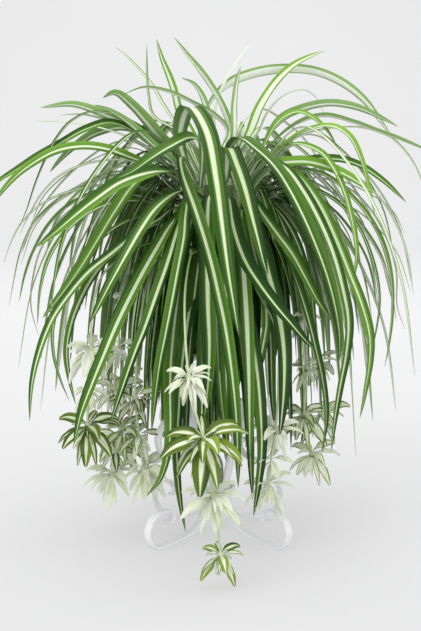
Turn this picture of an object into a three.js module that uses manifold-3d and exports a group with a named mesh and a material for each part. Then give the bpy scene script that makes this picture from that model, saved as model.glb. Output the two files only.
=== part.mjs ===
// A potted spider plant on a wrought strip stand.
// Units are millimetres, +Z is up, the front of the plant faces -Y, and the origin is on the floor
// under the middle of the plant's box.

import * as THREE from "three";
import { mergeVertices } from "three/addons/utils/BufferGeometryUtils.js";
import Module from "manifold-3d";

const { Manifold, Mesh: SolidMesh } = await loadSolids();

// Driving dimensions of the stand
const STRIP_WIDTH = 12;
const STRIP_THICKNESS = 3.6;
const FOOT_RADIUS = 116;
const FOOT_SPOT = 12;
const FIRST_LEG_ANGLE = Math.PI / 4;
const TRAY_RADIUS = 61;
const TRAY_BOTTOM = 260.1;
const TRAY_THICKNESS = 3;
const COLLAR_INNER = 21.6;
const COLLAR_OUTER = 25;
const COLLAR_BOTTOM = 54.5;
const COLLAR_TOP = 65.5;
const COLLAR_SIDES = 16;

// Driving dimensions of the pot and its filling
const FIT_GAP = 0.3;
const POT_BOTTOM = TRAY_BOTTOM + TRAY_THICKNESS + FIT_GAP;
const POT_BASE_RADIUS = 45;
const POT_RIM_RADIUS = 62;
const POT_HEIGHT = 120;
const POT_WALL = 3.2;
const POT_FLOOR = POT_BOTTOM + 4;
const RIM_BAND = 9;
const RIM_WIDTH = 5.6;
const ROUND_SIDES = 20;
const SOIL_TOP = POT_BOTTOM + 106;
const ROOT_DEPTH = 42;
const STOLON_DEPTH = 24;
const HOLE_GAP = 0.35;
const SOIL_GAP = 0.5;

// Driving dimensions of the leaves, stems and runners
const STEM_RADIUS = 4.2;
const HEAD_RADIUS = 6.5;
const LEAF_THICKNESS = 1.6;
const CHANNEL_DEPTH = 0.3;
const STOLON_RADIUS = 1.5;
const PLANTLET_HUB = 4.5;
const NODE_CLEARANCE = 0.5;
const LOWEST_TIP = 5;

// The front view is set out in perspective, from an eye this far in front of the axis and this high:
// a leaf point is [across, height, depth], with across and height as seen on the plane y = 0.
const EYE = new THREE.Vector3(-10.5, -1683.5, 547.6);

async function loadSolids() {
  const library = await Module();
  library.setup();
  return library;
}

function colour(name, hex, roughness, metalness = 0) {
  const material = new THREE.MeshStandardMaterial({ color: hex, roughness, metalness });
  material.name = name;
  return material;
}

const LEAF_GREEN = colour("leaf green", 0x3f7a2c, 0.45);
const PLANTLET_CREAM = colour("plantlet cream", 0xc9d3a4, 0.5);
const POT_BEIGE = colour("pot beige", 0xb3a888, 0.8);
const SOIL_BROWN = colour("soil brown", 0x3b2f24, 0.95);
const WHITE_PAINT = colour("white paint", 0xe6e6e8, 0.5, 0.1);

// A closed geometry as a solid that can be joined and cut
function solidOf(geometry) {
  const plain = geometry.clone();
  plain.deleteAttribute("normal");
  plain.deleteAttribute("uv");
  const merged = mergeVertices(plain, 1e-4);
  return new Manifold(new SolidMesh({
    numProp: 3,
    vertProperties: Float32Array.from(merged.attributes.position.array),
    triVerts: Uint32Array.from(merged.index.array),
  }));
}

function geometryOf(solid) {
  const mesh = solid.getMesh();
  const geometry = new THREE.BufferGeometry();
  geometry.setAttribute("position", new THREE.BufferAttribute(mesh.vertProperties, 3));
  geometry.setIndex(new THREE.BufferAttribute(mesh.triVerts, 1));
  geometry.computeVertexNormals();
  return geometry;
}

function part(name, geometry, material) {
  const mesh = new THREE.Mesh(geometry, material);
  mesh.name = name;
  return mesh;
}

function lathe(profile, segments) {
  return new THREE.LatheGeometry(profile.map(([r, z]) => new THREE.Vector2(r, z)), segments)
    .rotateX(Math.PI / 2);
}

// A fixed draw between 0 and 1 for the thing numbered item and its choice numbered choice
function draw(item, choice) {
  let mixed = (Math.imul(item, 374761393) + Math.imul(choice, 668265263)) >>> 0;
  mixed = Math.imul(mixed ^ (mixed >>> 13), 1274126177) >>> 0;
  return ((mixed ^ (mixed >>> 16)) >>> 0) / 2 ** 32;
}

function smoothstep(low, high, value) {
  const x = Math.min(1, Math.max(0, (value - low) / (high - low)));
  return x * x * (3 - 2 * x);
}

// Points at the given shares of the length of the smooth curve through the controls
const STEPS_PER_SPAN = 16;
function curvePoints(controls, shares) {
  const first = controls[0].clone().multiplyScalar(2).sub(controls[1]);
  const last = controls.at(-1).clone().multiplyScalar(2).sub(controls.at(-2));
  const held = [first, ...controls, last];
  const dense = [];
  for (let span = 0; span < controls.length - 1; span += 1) {
    const [a, b, c, d] = held.slice(span, span + 4);
    for (let step = 0; step < STEPS_PER_SPAN; step += 1) {
      const t = step / STEPS_PER_SPAN;
      const point = b.clone().multiplyScalar(2);
      point.addScaledVector(c.clone().sub(a), t);
      const square = a.clone().multiplyScalar(2).addScaledVector(b, -5).addScaledVector(c, 4).sub(d);
      point.addScaledVector(square, t * t);
      const cube = b.clone().multiplyScalar(3).sub(a).addScaledVector(c, -3).add(d);
      point.addScaledVector(cube, t * t * t);
      dense.push(point.multiplyScalar(0.5));
    }
  }
  dense.push(controls.at(-1).clone());
  const travelled = [0];
  for (let i = 1; i < dense.length; i += 1) {
    travelled.push(travelled[i - 1] + dense[i].distanceTo(dense[i - 1]));
  }
  return shares.map((share) => {
    const goal = share * travelled.at(-1);
    let i = 1;
    while (i < dense.length - 1 && travelled[i] < goal) i += 1;
    const part = (goal - travelled[i - 1]) / (travelled[i] - travelled[i - 1]);
    return dense[i - 1].clone().lerp(dense[i], part);
  });
}

// Directions across the blade at each point: level at right angles to the leaf's reach, turned by
// face (0 to 1) towards the front, and the blade's upper side
function bladeFrames(points, shares, face) {
  const reach = points.at(-1).clone().sub(points[0]).setZ(0).normalize();
  const level = reach.clone().cross(new THREE.Vector3(0, 0, 1));
  const frames = points.map((point, i) => {
    const ahead = points[Math.min(i + 1, points.length - 1)];
    const behind = points[Math.max(i - 1, 0)];
    const along = ahead.clone().sub(behind).normalize();
    const across = level.clone().addScaledVector(along, -level.dot(along)).normalize();
    const broad = along.clone().cross(EYE.clone().sub(point).normalize()).normalize();
    return { along, across, broad };
  });
  const lean = frames[Math.floor(frames.length * 0.7)];
  const side = lean.across.dot(lean.broad) < 0 ? -1 : 1;
  return frames.map(({ along, across, broad }, i) => {
    const weight = face * smoothstep(0.12, 0.4, shares[i]);
    const turned = across.clone().multiplyScalar(1 - weight).addScaledVector(broad, side * weight);
    turned.addScaledVector(along, -turned.dot(along)).normalize();
    return { across: turned, up: turned.clone().cross(along) };
  });
}

// A strap blade is a thin chevron, its edges raised to a channel, that ends in a point
function bladeGeometry(controls, shares, widthAt, face, thickness, channel) {
  const points = curvePoints(controls, shares);
  const frames = bladeFrames(points, shares, face);
  const corners = [];
  for (let ring = 0; ring < points.length - 1; ring += 1) {
    const half = widthAt(shares[ring]) / 2;
    const { across, up } = frames[ring];
    const lift = half * channel;
    corners.push(points[ring].clone().addScaledVector(across, -half).addScaledVector(up, lift));
    corners.push(points[ring].clone().addScaledVector(up, -thickness / 2));
    corners.push(points[ring].clone().addScaledVector(across, half).addScaledVector(up, lift));
    corners.push(points[ring].clone().addScaledVector(up, thickness / 2));
  }
  corners.push(points.at(-1));
  const faces = [0, 1, 3, 1, 2, 3];
  const rings = points.length - 1;
  // Both faces of a half blade are split from its edge to its middle, so that they stay one above the other
  for (let ring = 0; ring < rings - 1; ring += 1) {
    for (let corner = 0; corner < 4; corner += 1) {
      const a = ring * 4 + corner;
      const b = ring * 4 + (corner + 1) % 4;
      if (corner % 2 === 0) faces.push(a, b + 4, b, a, a + 4, b + 4);
      else faces.push(a, a + 4, b, a + 4, b + 4, b);
    }
  }
  for (let corner = 0; corner < 4; corner += 1) {
    faces.push((rings - 1) * 4 + (corner + 1) % 4, (rings - 1) * 4 + corner, rings * 4);
  }
  const geometry = new THREE.BufferGeometry();
  geometry.setAttribute("position",
    new THREE.BufferAttribute(Float32Array.from(corners.flatMap((p) => p.toArray())), 3));
  geometry.setIndex(faces);
  return geometry;
}

// Width of a strap leaf along its length: narrow at the root, then even, then drawn in to a short point
function strapWidth(width) {
  return (share) => width * (0.25 + 0.75 * smoothstep(0, 0.28, share)) * (1 - share ** 5) ** 0.75;
}

// Width of a plantlet's lance-shaped leaf
function lanceWidth(width) {
  return (share) => width * (0.22 + 0.78 * Math.sin(Math.PI * share ** 0.85) ** 0.9);
}

// A straight round piece with flat sides between two points
function rod(from, to, radiusFrom, radiusTo, sides) {
  const length = from.distanceTo(to);
  const geometry = new THREE.CylinderGeometry(radiusTo, radiusFrom, length, sides);
  geometry.translate(0, length / 2, 0);
  const turn = new THREE.Quaternion().setFromUnitVectors(
    new THREE.Vector3(0, 1, 0), to.clone().sub(from).normalize());
  return geometry.applyQuaternion(turn).translate(from.x, from.y, from.z);
}

// Where each spray's stem stands, as [x, y], and how high its head is
const SPRAYS = {
  crown: { at: [0, 6], head: 512 },
  front: { at: [5, -27], head: 488 },
  front_left: { at: [-25, -17], head: 494 },
  left: { at: [-31, 11], head: 498 },
  back_left: { at: [-15, 33], head: 492 },
  back_right: { at: [16, 33], head: 492 },
  right: { at: [33, 10], head: 498 },
  front_right: { at: [28, -17], head: 490 },
};

// The leaves that show, each as [spray, width, face, points]
const SHOWN_LEAVES = [
  // broad leaves over the front
  ["front_left", 26, 0, [[-50, 540, -18], [-50, 575, -34], [-37, 598, -68], [-15, 562, -112],
    [-3, 500, -146], [5, 440, -168], [13, 380, -182], [22, 325, -190], [29, 283, -194]]],
  ["front_left", 19, 0, [[-50, 530, -32], [-49, 508, -62], [-33, 462, -100], [-19, 418, -124],
    [-8, 378, -140], [0, 342, -151], [8, 305, -160], [15, 262, -167], [21, 215, -172],
    [26, 160, -176], [28, 110, -178], [29, 62, -179]]],
  ["front_left", 24, 0.35, [[-22, 545, -40], [-38, 557, -72], [-64, 546, -96], [-92, 529, -112],
    [-118, 511, -122], [-141, 501, -126]]],
  ["front_left", 22, 0.6, [[-44, 505, -30], [-72, 511, -46], [-101, 508, -62], [-135, 496, -80],
    [-165, 476, -94], [-195, 453, -105], [-225, 428, -113], [-252, 407, -118]]],
  ["front_left", 22, 0.35, [[-42, 484, -40], [-61, 480, -62], [-86, 460, -84], [-105, 434, -98],
    [-124, 402, -110], [-140, 374, -119], [-155, 347, -126], [-168, 322, -131], [-180, 300, -135]]],
  ["front_left", 24, 0.3, [[-40, 462, -38], [-62, 442, -66], [-85, 405, -90], [-105, 370, -105],
    [-125, 332, -117], [-143, 295, -127], [-160, 255, -135], [-178, 212, -142], [-194, 170, -147],
    [-205, 124, -150]]],
  ["front_left", 19, 0.15, [[-43, 470, -50], [-56, 432, -78], [-70, 385, -100], [-86, 340, -116],
    [-102, 295, -129], [-118, 255, -138], [-134, 210, -145], [-146, 175, -149], [-153, 155, -151]]],
  ["front", 19, 0, [[-36, 482, -52], [-44, 455, -78], [-47, 420, -98], [-55, 378, -114],
    [-64, 330, -128], [-73, 285, -138], [-82, 240, -145], [-89, 190, -150], [-94, 145, -152]]],
  ["front", 23, 0, [[-24, 470, -58], [-41, 425, -86], [-51, 375, -106], [-57, 328, -119],
    [-62, 285, -128], [-66, 240, -134], [-67, 195, -138], [-67, 150, -141], [-71, 110, -143],
    [-82, 75, -145], [-102, 50, -147]]],
  ["front", 16, 0, [[-16, 450, -50], [-26, 400, -74], [-36, 345, -92], [-44, 290, -106],
    [-51, 235, -116], [-55, 180, -123], [-58, 125, -128], [-57, 80, -130], [-53, 38, -131],
    [-46, -3, -132]]],
  ["front", 23, 0, [[-11, 478, -60], [-15, 440, -84], [-15, 385, -106], [-14, 325, -122],
    [-12, 268, -133], [-14, 212, -141], [-20, 160, -146]]],
  ["front", 12, 0, [[-8, 455, -48], [-24, 425, -70], [-20, 375, -90], [-15, 332, -102],
    [-19, 300, -108]]],
  ["front", 24, 0, [[11, 505, -52], [15, 542, -74], [26, 519, -100], [37, 487, -118],
    [46, 452, -130], [55, 418, -139], [62, 390, -144], [69, 368, -146]]],
  ["front", 26, 0.2, [[14, 474, -62], [19, 442, -88], [28, 410, -106], [40, 382, -120],
    [58, 354, -132], [80, 325, -142], [103, 298, -150], [122, 276, -156], [138, 261, -160]]],
  ["front", 18, 0, [[3, 460, -54], [2, 405, -80], [-1, 350, -98], [-1, 295, -112], [1, 240, -122],
    [5, 190, -129], [11, 145, -134], [17, 112, -137]]],
  ["front", 19, 0, [[17, 455, -46], [26, 400, -66], [36, 340, -84], [46, 285, -98], [55, 230, -109],
    [60, 175, -117], [62, 120, -122], [58, 72, -125], [51, 20, -127]]],
  ["front", 17, 0, [[12, 440, -46], [18, 380, -66], [27, 315, -84], [35, 250, -96], [41, 190, -104],
    [45, 130, -109], [47, 85, -112], [50, 44, -114]]],
  ["front_right", 25, 0.15, [[14, 532, -34], [28, 556, -56], [50, 543, -80], [76, 519, -100],
    [97, 488, -115], [118, 448, -128], [137, 405, -138], [152, 365, -145], [163, 325, -150],
    [170, 285, -153], [171, 247, -155]]],
  ["front_right", 18, 0.15, [[58, 528, -50], [90, 518, -74], [115, 487, -90], [138, 447, -103],
    [158, 402, -114], [172, 355, -122], [182, 305, -128], [180, 258, -131], [172, 210, -133],
    [165, 160, -135], [161, 115, -136]]],
  ["front_right", 22, 0.3, [[46, 474, -40], [62, 452, -58], [82, 425, -76], [103, 397, -90],
    [121, 365, -101], [139, 332, -109], [159, 303, -116]]],
  ["front_right", 24, 0, [[42, 462, -48], [56, 420, -68], [70, 368, -88], [84, 315, -102],
    [92, 262, -112], [93, 210, -118], [90, 165, -122], [87, 136, -124]]],
  ["front_right", 13, 0, [[37, 450, -46], [50, 400, -64], [62, 350, -80], [68, 305, -90],
    [62, 262, -98], [54, 225, -103], [53, 182, -106], [57, 140, -108]]],
  ["front_right", 16, 0, [[40, 445, -36], [54, 390, -52], [66, 335, -66], [73, 282, -76],
    [75, 235, -83], [77, 190, -88], [83, 138, -91]]],
  ["front_right", 17, 0.1, [[50, 470, -30], [78, 430, -48], [103, 375, -64], [122, 320, -76],
    [136, 268, -85], [148, 215, -92], [153, 165, -96], [148, 114, -98]]],
  // arcs to the left, mostly seen edge-on
  ["left", 16, 0.55, [[-64, 530, 2], [-100, 556, -6], [-130, 577, -13], [-165, 592, -19],
    [-200, 602, -24], [-243, 598, -29]]],
  ["left", 9, 0.3, [[-68, 536, 16], [-110, 562, 13], [-150, 579, 10], [-185, 588, 7],
    [-216, 588, 5]]],
  ["left", 8, 0.25, [[-70, 526, 26], [-120, 556, 24], [-165, 571, 22], [-205, 578, 20],
    [-247, 580, 18]]],
  ["left", 10, 0.2, [[-66, 542, -12], [-120, 580, -21], [-168, 592, -28], [-200, 580, -33],
    [-222, 555, -37], [-238, 526, -40], [-252, 494, -43], [-264, 460, -45], [-275, 437, -47]]],
  ["left", 16, 0.4, [[-66, 522, -8], [-108, 560, -16], [-146, 577, -23], [-182, 568, -29],
    [-212, 552, -34], [-245, 534, -39], [-275, 515, -43], [-305, 496, -47], [-334, 470, -50]]],
  ["left", 17, 0.5, [[-66, 508, -14], [-118, 529, -32], [-155, 542, -40], [-190, 545, -47],
    [-225, 538, -53], [-258, 520, -58], [-285, 498, -62], [-316, 462, -66]]],
  ["left", 18, 0.5, [[-72, 546, 34], [-125, 570, 32], [-165, 564, 29], [-195, 546, 27],
    [-216, 528, 25], [-232, 510, 23]]],
  ["left", 9, 0.2, [[-64, 488, -8], [-92, 514, -14], [-125, 526, -20], [-162, 525, -26],
    [-196, 516, -31], [-222, 502, -35], [-243, 481, -38], [-258, 457, -40], [-276, 424, -42]]],
  ["left", 9, 0.2, [[-64, 474, 6], [-92, 486, 2], [-130, 493, -3], [-175, 490, -9],
    [-215, 480, -14], [-248, 463, -18], [-272, 440, -21], [-288, 412, -24], [-298, 386, -26]]],
  ["left", 13, 0.3, [[-60, 470, 18], [-95, 485, 14], [-150, 488, 8], [-200, 468, 3],
    [-232, 440, -1], [-254, 405, -4], [-268, 370, -6], [-278, 331, -8]]],
  ["left", 23, 0.45, [[-56, 500, -26], [-84, 510, -34], [-115, 494, -42], [-140, 460, -50],
    [-165, 420, -57], [-190, 380, -64], [-215, 345, -70], [-246, 307, -76]]],
  ["left", 16, 0.4, [[-56, 462, -20], [-82, 445, -38], [-115, 424, -54], [-150, 396, -68],
    [-180, 372, -79], [-208, 340, -88], [-232, 305, -95], [-250, 262, -100], [-262, 215, -103],
    [-267, 160, -105]]],
  ["left", 8, 0.2, [[-58, 458, 24], [-110, 478, 20], [-170, 475, 14], [-215, 448, 9],
    [-245, 405, 5], [-258, 360, 3], [-261, 322, 1], [-252, 283, 0]]],
  ["left", 14, 0.3, [[-54, 456, 2], [-100, 470, -6], [-155, 465, -14], [-200, 438, -21],
    [-232, 396, -27], [-247, 350, -31], [-253, 298, -34]]],
  ["left", 12, 0.3, [[-52, 448, -4], [-90, 452, -14], [-140, 435, -26], [-185, 395, -36],
    [-215, 345, -44], [-230, 298, -49], [-230, 255, -52], [-221, 218, -54], [-210, 189, -55]]],
  ["left", 16, 0.35, [[-50, 440, -10], [-85, 438, -24], [-130, 412, -40], [-172, 368, -53],
    [-200, 315, -63], [-212, 265, -69], [-209, 222, -72], [-201, 183, -74]]],
  ["left", 24, 0.45, [[-54, 530, 0], [-80, 556, -4], [-100, 580, -8], [-120, 602, -11],
    [-140, 617, -14], [-158, 611, -16]]],
  ["left", 16, 0.4, [[-58, 520, -14], [-90, 548, -24], [-120, 575, -31], [-145, 592, -36],
    [-169, 602, -39]]],
  // leaves that rise from the crown
  ["crown", 12, 0.2, [[-50, 560, 8], [-88, 585, 8], [-96, 615, 8], [-98, 648, 8], [-97, 682, 8]]],
  ["crown", 10, 0.3, [[-38, 552, 16], [-58, 575, 18], [-76, 602, 20], [-92, 630, 21],
    [-120, 662, 22], [-140, 680, 22]]],
  ["crown", 17, 0.3, [[-34, 556, 26], [-53, 590, 32], [-60, 615, 36], [-68, 640, 39],
    [-78, 666, 42], [-84, 690, 44]]],
  ["crown", 12, 0.3, [[2, 540, -6], [11, 568, -10], [-8, 589, -16], [-35, 604, -21],
    [-65, 618, -25], [-100, 625, -28], [-129, 616, -30]]],
  ["crown", 14, 0.35, [[-6, 548, 0], [-14, 585, -4], [-22, 612, -8], [-34, 630, -11],
    [-50, 638, -13]]],
  ["crown", 17, 0.4, [[20, 548, 14], [12, 580, 13], [-2, 612, 12], [-20, 640, 11],
    [-42, 668, 10], [-60, 692, 9]]],
  ["crown", 14, 0.3, [[22, 556, -2], [23, 600, -5], [26, 632, -7], [31, 654, -8]]],
  ["crown", 7, 0.2, [[-4, 560, 24], [-4, 596, 28], [10, 634, 32], [28, 664, 35], [44, 684, 37]]],
  ["crown", 18, 0.45, [[40, 556, 12], [58, 598, 16], [78, 630, 20], [100, 652, 23],
    [122, 665, 25], [144, 674, 26]]],
  ["crown", 8, 0.1, [[50, 556, 14], [68, 591, 20], [90, 614, 26], [115, 622, 31], [133, 612, 34],
    [142, 596, 36], [147, 581, 37]]],
  ["crown", 19, 0.5, [[-8, 560, 36], [-12, 598, 40], [14, 628, 42], [50, 643, 43], [90, 649, 43],
    [130, 646, 42], [168, 631, 41], [200, 607, 40], [224, 577, 39], [238, 559, 38]]],
  // arcs to the right
  ["right", 16, 0.5, [[62, 545, 6], [85, 580, 5], [115, 596, 4], [150, 603, 2], [185, 599, 0],
    [215, 588, -2], [247, 572, -4]]],
  ["right", 12, 0.4, [[60, 540, -6], [82, 578, -10], [108, 592, -13], [130, 584, -16],
    [148, 568, -18], [164, 545, -20]]],
  ["right", 13, 0.35, [[68, 542, 16], [105, 574, 18], [145, 587, 19], [185, 578, 19],
    [215, 567, 18], [245, 557, 17], [275, 545, 16], [310, 530, 15]]],
  ["right", 9, 0.2, [[74, 534, 26], [115, 560, 29], [160, 570, 31], [200, 570, 32],
    [235, 558, 33], [262, 532, 33], [278, 504, 33], [290, 470, 33]]],
  ["right", 18, 0.25, [[70, 528, -14], [110, 561, -22], [150, 573, -29], [178, 560, -35],
    [195, 530, -39], [205, 498, -42], [212, 470, -44], [217, 451, -45]]],
  ["right", 19, 0.5, [[72, 516, -30], [108, 524, -42], [142, 520, -51], [178, 505, -58],
    [205, 488, -62], [218, 481, -64]]],
  ["right", 16, 0.45, [[72, 502, -8], [120, 525, -14], [160, 528, -19], [195, 519, -23],
    [225, 500, -26], [248, 480, -29], [260, 469, -30]]],
  ["right", 19, 0.25, [[66, 508, -46], [90, 515, -58], [112, 503, -68], [140, 465, -80],
    [162, 420, -90], [182, 372, -98], [200, 328, -104], [212, 285, -108], [213, 245, -110],
    [207, 200, -112], [201, 163, -113]]],
  ["right", 13, 0.3, [[66, 524, -24], [102, 548, -40], [138, 539, -52], [160, 513, -60],
    [175, 480, -66], [186, 440, -71], [192, 400, -74], [189, 368, -76], [184, 340, -77]]],
  ["right", 16, 0.25, [[70, 492, 0], [100, 512, -4], [142, 508, -9], [180, 480, -14],
    [210, 445, -18], [230, 405, -21], [241, 360, -24], [243, 315, -26], [240, 275, -27],
    [235, 238, -28]]],
  ["right", 9, 0.2, [[68, 484, 18], [100, 506, 17], [150, 516, 15], [195, 500, 12],
    [228, 468, 9], [250, 430, 7], [264, 392, 5], [273, 338, 3]]],
  ["right", 9, 0.2, [[66, 478, 8], [96, 494, 6], [140, 502, 3], [182, 486, 0], [213, 455, -3],
    [236, 413, -5], [248, 370, -7], [250, 325, -9], [262, 292, -10]]],
  ["right", 10, 0.25, [[62, 468, -14], [92, 484, -20], [132, 486, -26], [168, 466, -31],
    [198, 428, -36], [217, 380, -40], [225, 335, -43], [222, 295, -45], [214, 252, -47]]],
];
const SHOWN_SHARES = [0, 0.09, 0.2, 0.34, 0.55, 0.82, 1];
const BROAD_SHARES = [0, 0.08, 0.18, 0.3, 0.44, 0.63, 0.85, 1];
const BROAD = 20;

// A point of the front view, brought from the plane y = 0 along the line of sight to its depth
function seen([across, height, depth]) {
  const share = (depth - EYE.y) / -EYE.y;
  return new THREE.Vector3(
    EYE.x + (across - EYE.x) * share, depth, EYE.z + (height - EYE.z) * share);
}

// A leaf is rooted on its stem's head on the side that it leaves from: the steeper its first stretch,
// the higher its root, so that leaves of one stem don't cross at their roots
const ROOT_SPAN = 74;
const ROOT_OFFSET = 3.2;
function rootOf(spray, next) {
  const { at, head } = SPRAYS[spray];
  const [out, across] = [next.x - at[0], next.y - at[1]];
  const flat = Math.hypot(out, across);
  const slope = Math.atan2(next.z - (head - ROOT_SPAN / 2), flat);
  const height = head - ROOT_SPAN * (1 - smoothstep(-0.6, 1.5, slope)) - 3;
  return new THREE.Vector3(
    at[0] + out / flat * ROOT_OFFSET, at[1] + across / flat * ROOT_OFFSET, height);
}

function shownLeaves() {
  return SHOWN_LEAVES.map(([spray, width, face, points]) => {
    const places = points.map(seen);
    return { spray, width, face, controls: [rootOf(spray, places[0]), ...places],
      shares: width < BROAD ? SHOWN_SHARES : BROAD_SHARES };
  });
}

// The leaves on the sides and back that the front view hides: for each spray how many leaves, the
// middle direction in degrees, the spread to either side, and the least width and its spread
const HIDDEN_LEAVES = [
  { spray: "back_left", count: 16, middle: 122, spread: 44, width: [11, 9] },
  { spray: "back_right", count: 16, middle: 58, spread: 44, width: [11, 9] },
  { spray: "left", count: 7, middle: 174, spread: 44, width: [7, 7] },
  { spray: "right", count: 7, middle: 4, spread: 44, width: [7, 7] },
  { spray: "crown", count: 5, middle: 90, spread: 150, width: [9, 8] },
  { spray: "front_left", count: 4, middle: 218, spread: 30, width: [10, 8] },
  { spray: "front", count: 4, middle: 268, spread: 34, width: [12, 8] },
  { spray: "front_right", count: 4, middle: 318, spread: 30, width: [10, 8] },
];
const HIDDEN_SHARES = [0, 0.14, 0.34, 0.7, 1];
// Each drawn value is [least, spread]; front stems carry short inner leaves, the others long outer ones
const INNER = { reach: [70, 40], rise: [-10, 30], long: [0.9, 0] };
const OUTER = { reach: [165, 125], rise: [25, 110], long: [0.35, 0.65] };
const TURN_SPREAD = 3;
const SWAY_SPREAD = 24;
const FALL_SHARE = 0.82;
const FLOOR_CLEARANCE = 22;
const HIDDEN_START = 200;
const HIDDEN_STEP = 40;
// How far out, how much of its rise and how much of its fall a leaf has had at each of its points
const HIDDEN_ARC = [[0.14, 0.6, 0], [0.38, 1, 0], [0.68, 1, 0.22], [0.9, 1, 0.58], [1, 1, 1]];

function drawn([least, spread], item, choice) {
  return least + spread * draw(item, choice);
}

function hiddenLeaf(spray, width, turn, item) {
  const { at, head } = SPRAYS[spray];
  const kind = spray.startsWith("front") ? INNER : OUTER;
  const reach = drawn(kind.reach, item, 2);
  const rise = drawn(kind.rise, item, 3);
  const base = head - ROOT_SPAN / 2;
  const fall = (base + rise - FLOOR_CLEARANCE) * FALL_SHARE * drawn(kind.long, item, 4);
  const sway = SWAY_SPREAD * (draw(item, 6) - 0.5);
  const places = HIDDEN_ARC.map(([out, up, down]) => new THREE.Vector3(
    at[0] + reach * out * Math.cos(turn) - sway * out * out * Math.sin(turn),
    at[1] + reach * out * Math.sin(turn) + sway * out * out * Math.cos(turn),
    base + rise * up - fall * down));
  return { spray, width: drawn(width, item, 7), face: 0,
    controls: [rootOf(spray, places[0]), ...places], shares: HIDDEN_SHARES };
}

function hiddenLeaves() {
  return HIDDEN_LEAVES.flatMap(({ spray, count, middle, spread, width }, group) => (
    Array.from({ length: count }, (_, number) => {
      const item = HIDDEN_START + group * HIDDEN_STEP + number;
      const even = (number + 0.5) / count * 2 - 1;
      const turn = middle + spread * even + TURN_SPREAD * (draw(item, 1) - 0.5);
      return hiddenLeaf(spray, width, THREE.MathUtils.degToRad(turn), item);
    })));
}

// A stem is even up to its neck and swells to the head that its leaves are rooted in
const STEM_SIDES = 6;
const NECK_DROP = 44;
const SWELL_DROP = 6;
const HEAD_TAPER = 0.7;
function stemSolid({ at, head }) {
  const foot = SOIL_TOP - ROOT_DEPTH;
  const profile = [[0, foot], [STEM_RADIUS, foot], [STEM_RADIUS, head - ROOT_SPAN - NECK_DROP],
    [HEAD_RADIUS, head - ROOT_SPAN - SWELL_DROP], [HEAD_RADIUS * HEAD_TAPER, head], [0, head]];
  return solidOf(lathe(profile, STEM_SIDES).translate(at[0], at[1], 0));
}

function leafSolid({ controls, shares, width, face }) {
  return solidOf(
    bladeGeometry(controls, shares, strapWidth(width), face, LEAF_THICKNESS, CHANNEL_DEPTH));
}

// Runners: each rises from a hole in the soil, bows out under the leaves and hangs. The rise is
// [x, y, z] points from the hole's [x, y] up. A hanging point is [across, height, depth], as seen in
// the front view, and the ones with two more numbers carry a plantlet: [..., leaf length, leaves].
const FRONT_RUNNERS = [
  { rise: [[-14, -42, 395], [-31, -54, 410], [-39, -71, 413], [-29, -99, 409]],
    hang: [[-38, 394, -132], [-46, 345, -164], [-46, 285, -190], [-41, 222, -208, 32, 7],
      [-31, 170, -220], [-20, 133, -228, 56, 10], [-13, 88, -233], [-7, 50, -236, 40, 8],
      [0, 4, -239], [4, -38, -241, 31, 6]] },
  { rise: [[-36, -25, 392], [-60, -34, 415], [-105, -44, 412]],
    hang: [[-158, 372, -58], [-176, 318, -76], [-178, 264, -86, 34, 6], [-184, 205, -94],
      [-185, 152, -99, 41, 8]] },
  { rise: [[-43, -8, 390], [-70, -12, 405], [-106, -20, 396]],
    hang: [[-134, 340, -32], [-140, 264, -46, 30, 5], [-146, 206, -58, 36, 6],
      [-134, 148, -68, 38, 7], [-146, 116, -74], [-152, 84, -78, 39, 8]] },
  { rise: [[-27, -34, 390], [-52, -52, 404], [-86, -64, 388]],
    hang: [[-108, 310, -70], [-114, 250, -74], [-117, 192, -77, 34, 6], [-112, 140, -80],
      [-106, 90, -82, 39, 8]] },
  { rise: [[24, -37, 390], [40, -58, 394], [43, -76, 381], [48, -93, 362]],
    hang: [[82, 290, -98], [85, 215, -106], [82, 146, -110, 34, 6], [76, 104, -112],
      [71, 66, -113, 36, 6]] },
  { rise: [[40, -18, 391], [64, -26, 404], [96, -36, 390]],
    hang: [[120, 310, -40], [125, 236, -42, 28, 5], [122, 168, -46, 39, 7], [134, 112, -52, 37, 7]] },
];
// The runners behind, as [x, y, z] points
const BACK_RUNNERS = [
  { rise: [[43, 11, 391], [70, 20, 402], [112, 34, 380]],
    hang: [[138, 42, 310], [146, 46, 238, 34, 5], [150, 48, 160, 42, 6]] },
  { rise: [[4, 44, 391], [6, 78, 402], [8, 116, 384]],
    hang: [[9, 142, 310], [10, 152, 225, 36, 5], [12, 156, 140, 44, 6]] },
  { rise: [[-42, 15, 391], [-72, 26, 402], [-110, 42, 380]],
    hang: [[-134, 52, 300], [-140, 56, 205, 36, 5], [-144, 58, 122, 42, 6]] },
];
const STOLON_SIDES = 4;
const LANCE_SHARES = [0, 0.42, 1];
const LANCE_BREADTH = 0.3;
const LANCE_THICKNESS = 1.5;
const LANCE_FACE = 0.6;
// How far along and how much lower, as shares of its length, a plantlet leaf is at each of its points
const LANCE_ARC = [[0, 0], [0.4, 0.03], [0.75, -0.03], [1, -0.18]];
const LEAF_TRIES = 3;
const LEAF_TURN = 2.4;
const HIGHEST_LIFT = 22;
const LIFT_RANGE = 98;
const LONG_DRAW = [0.8, 0.3];
const HUB_TAPER = 0.7;
const HUB_SIDES = 5;
const MOUTH_RISE = 4;
const RUNNER_START = 1000;
const RUNNER_STEP = 200;
const PLANTLET_STEP = 40;

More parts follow.
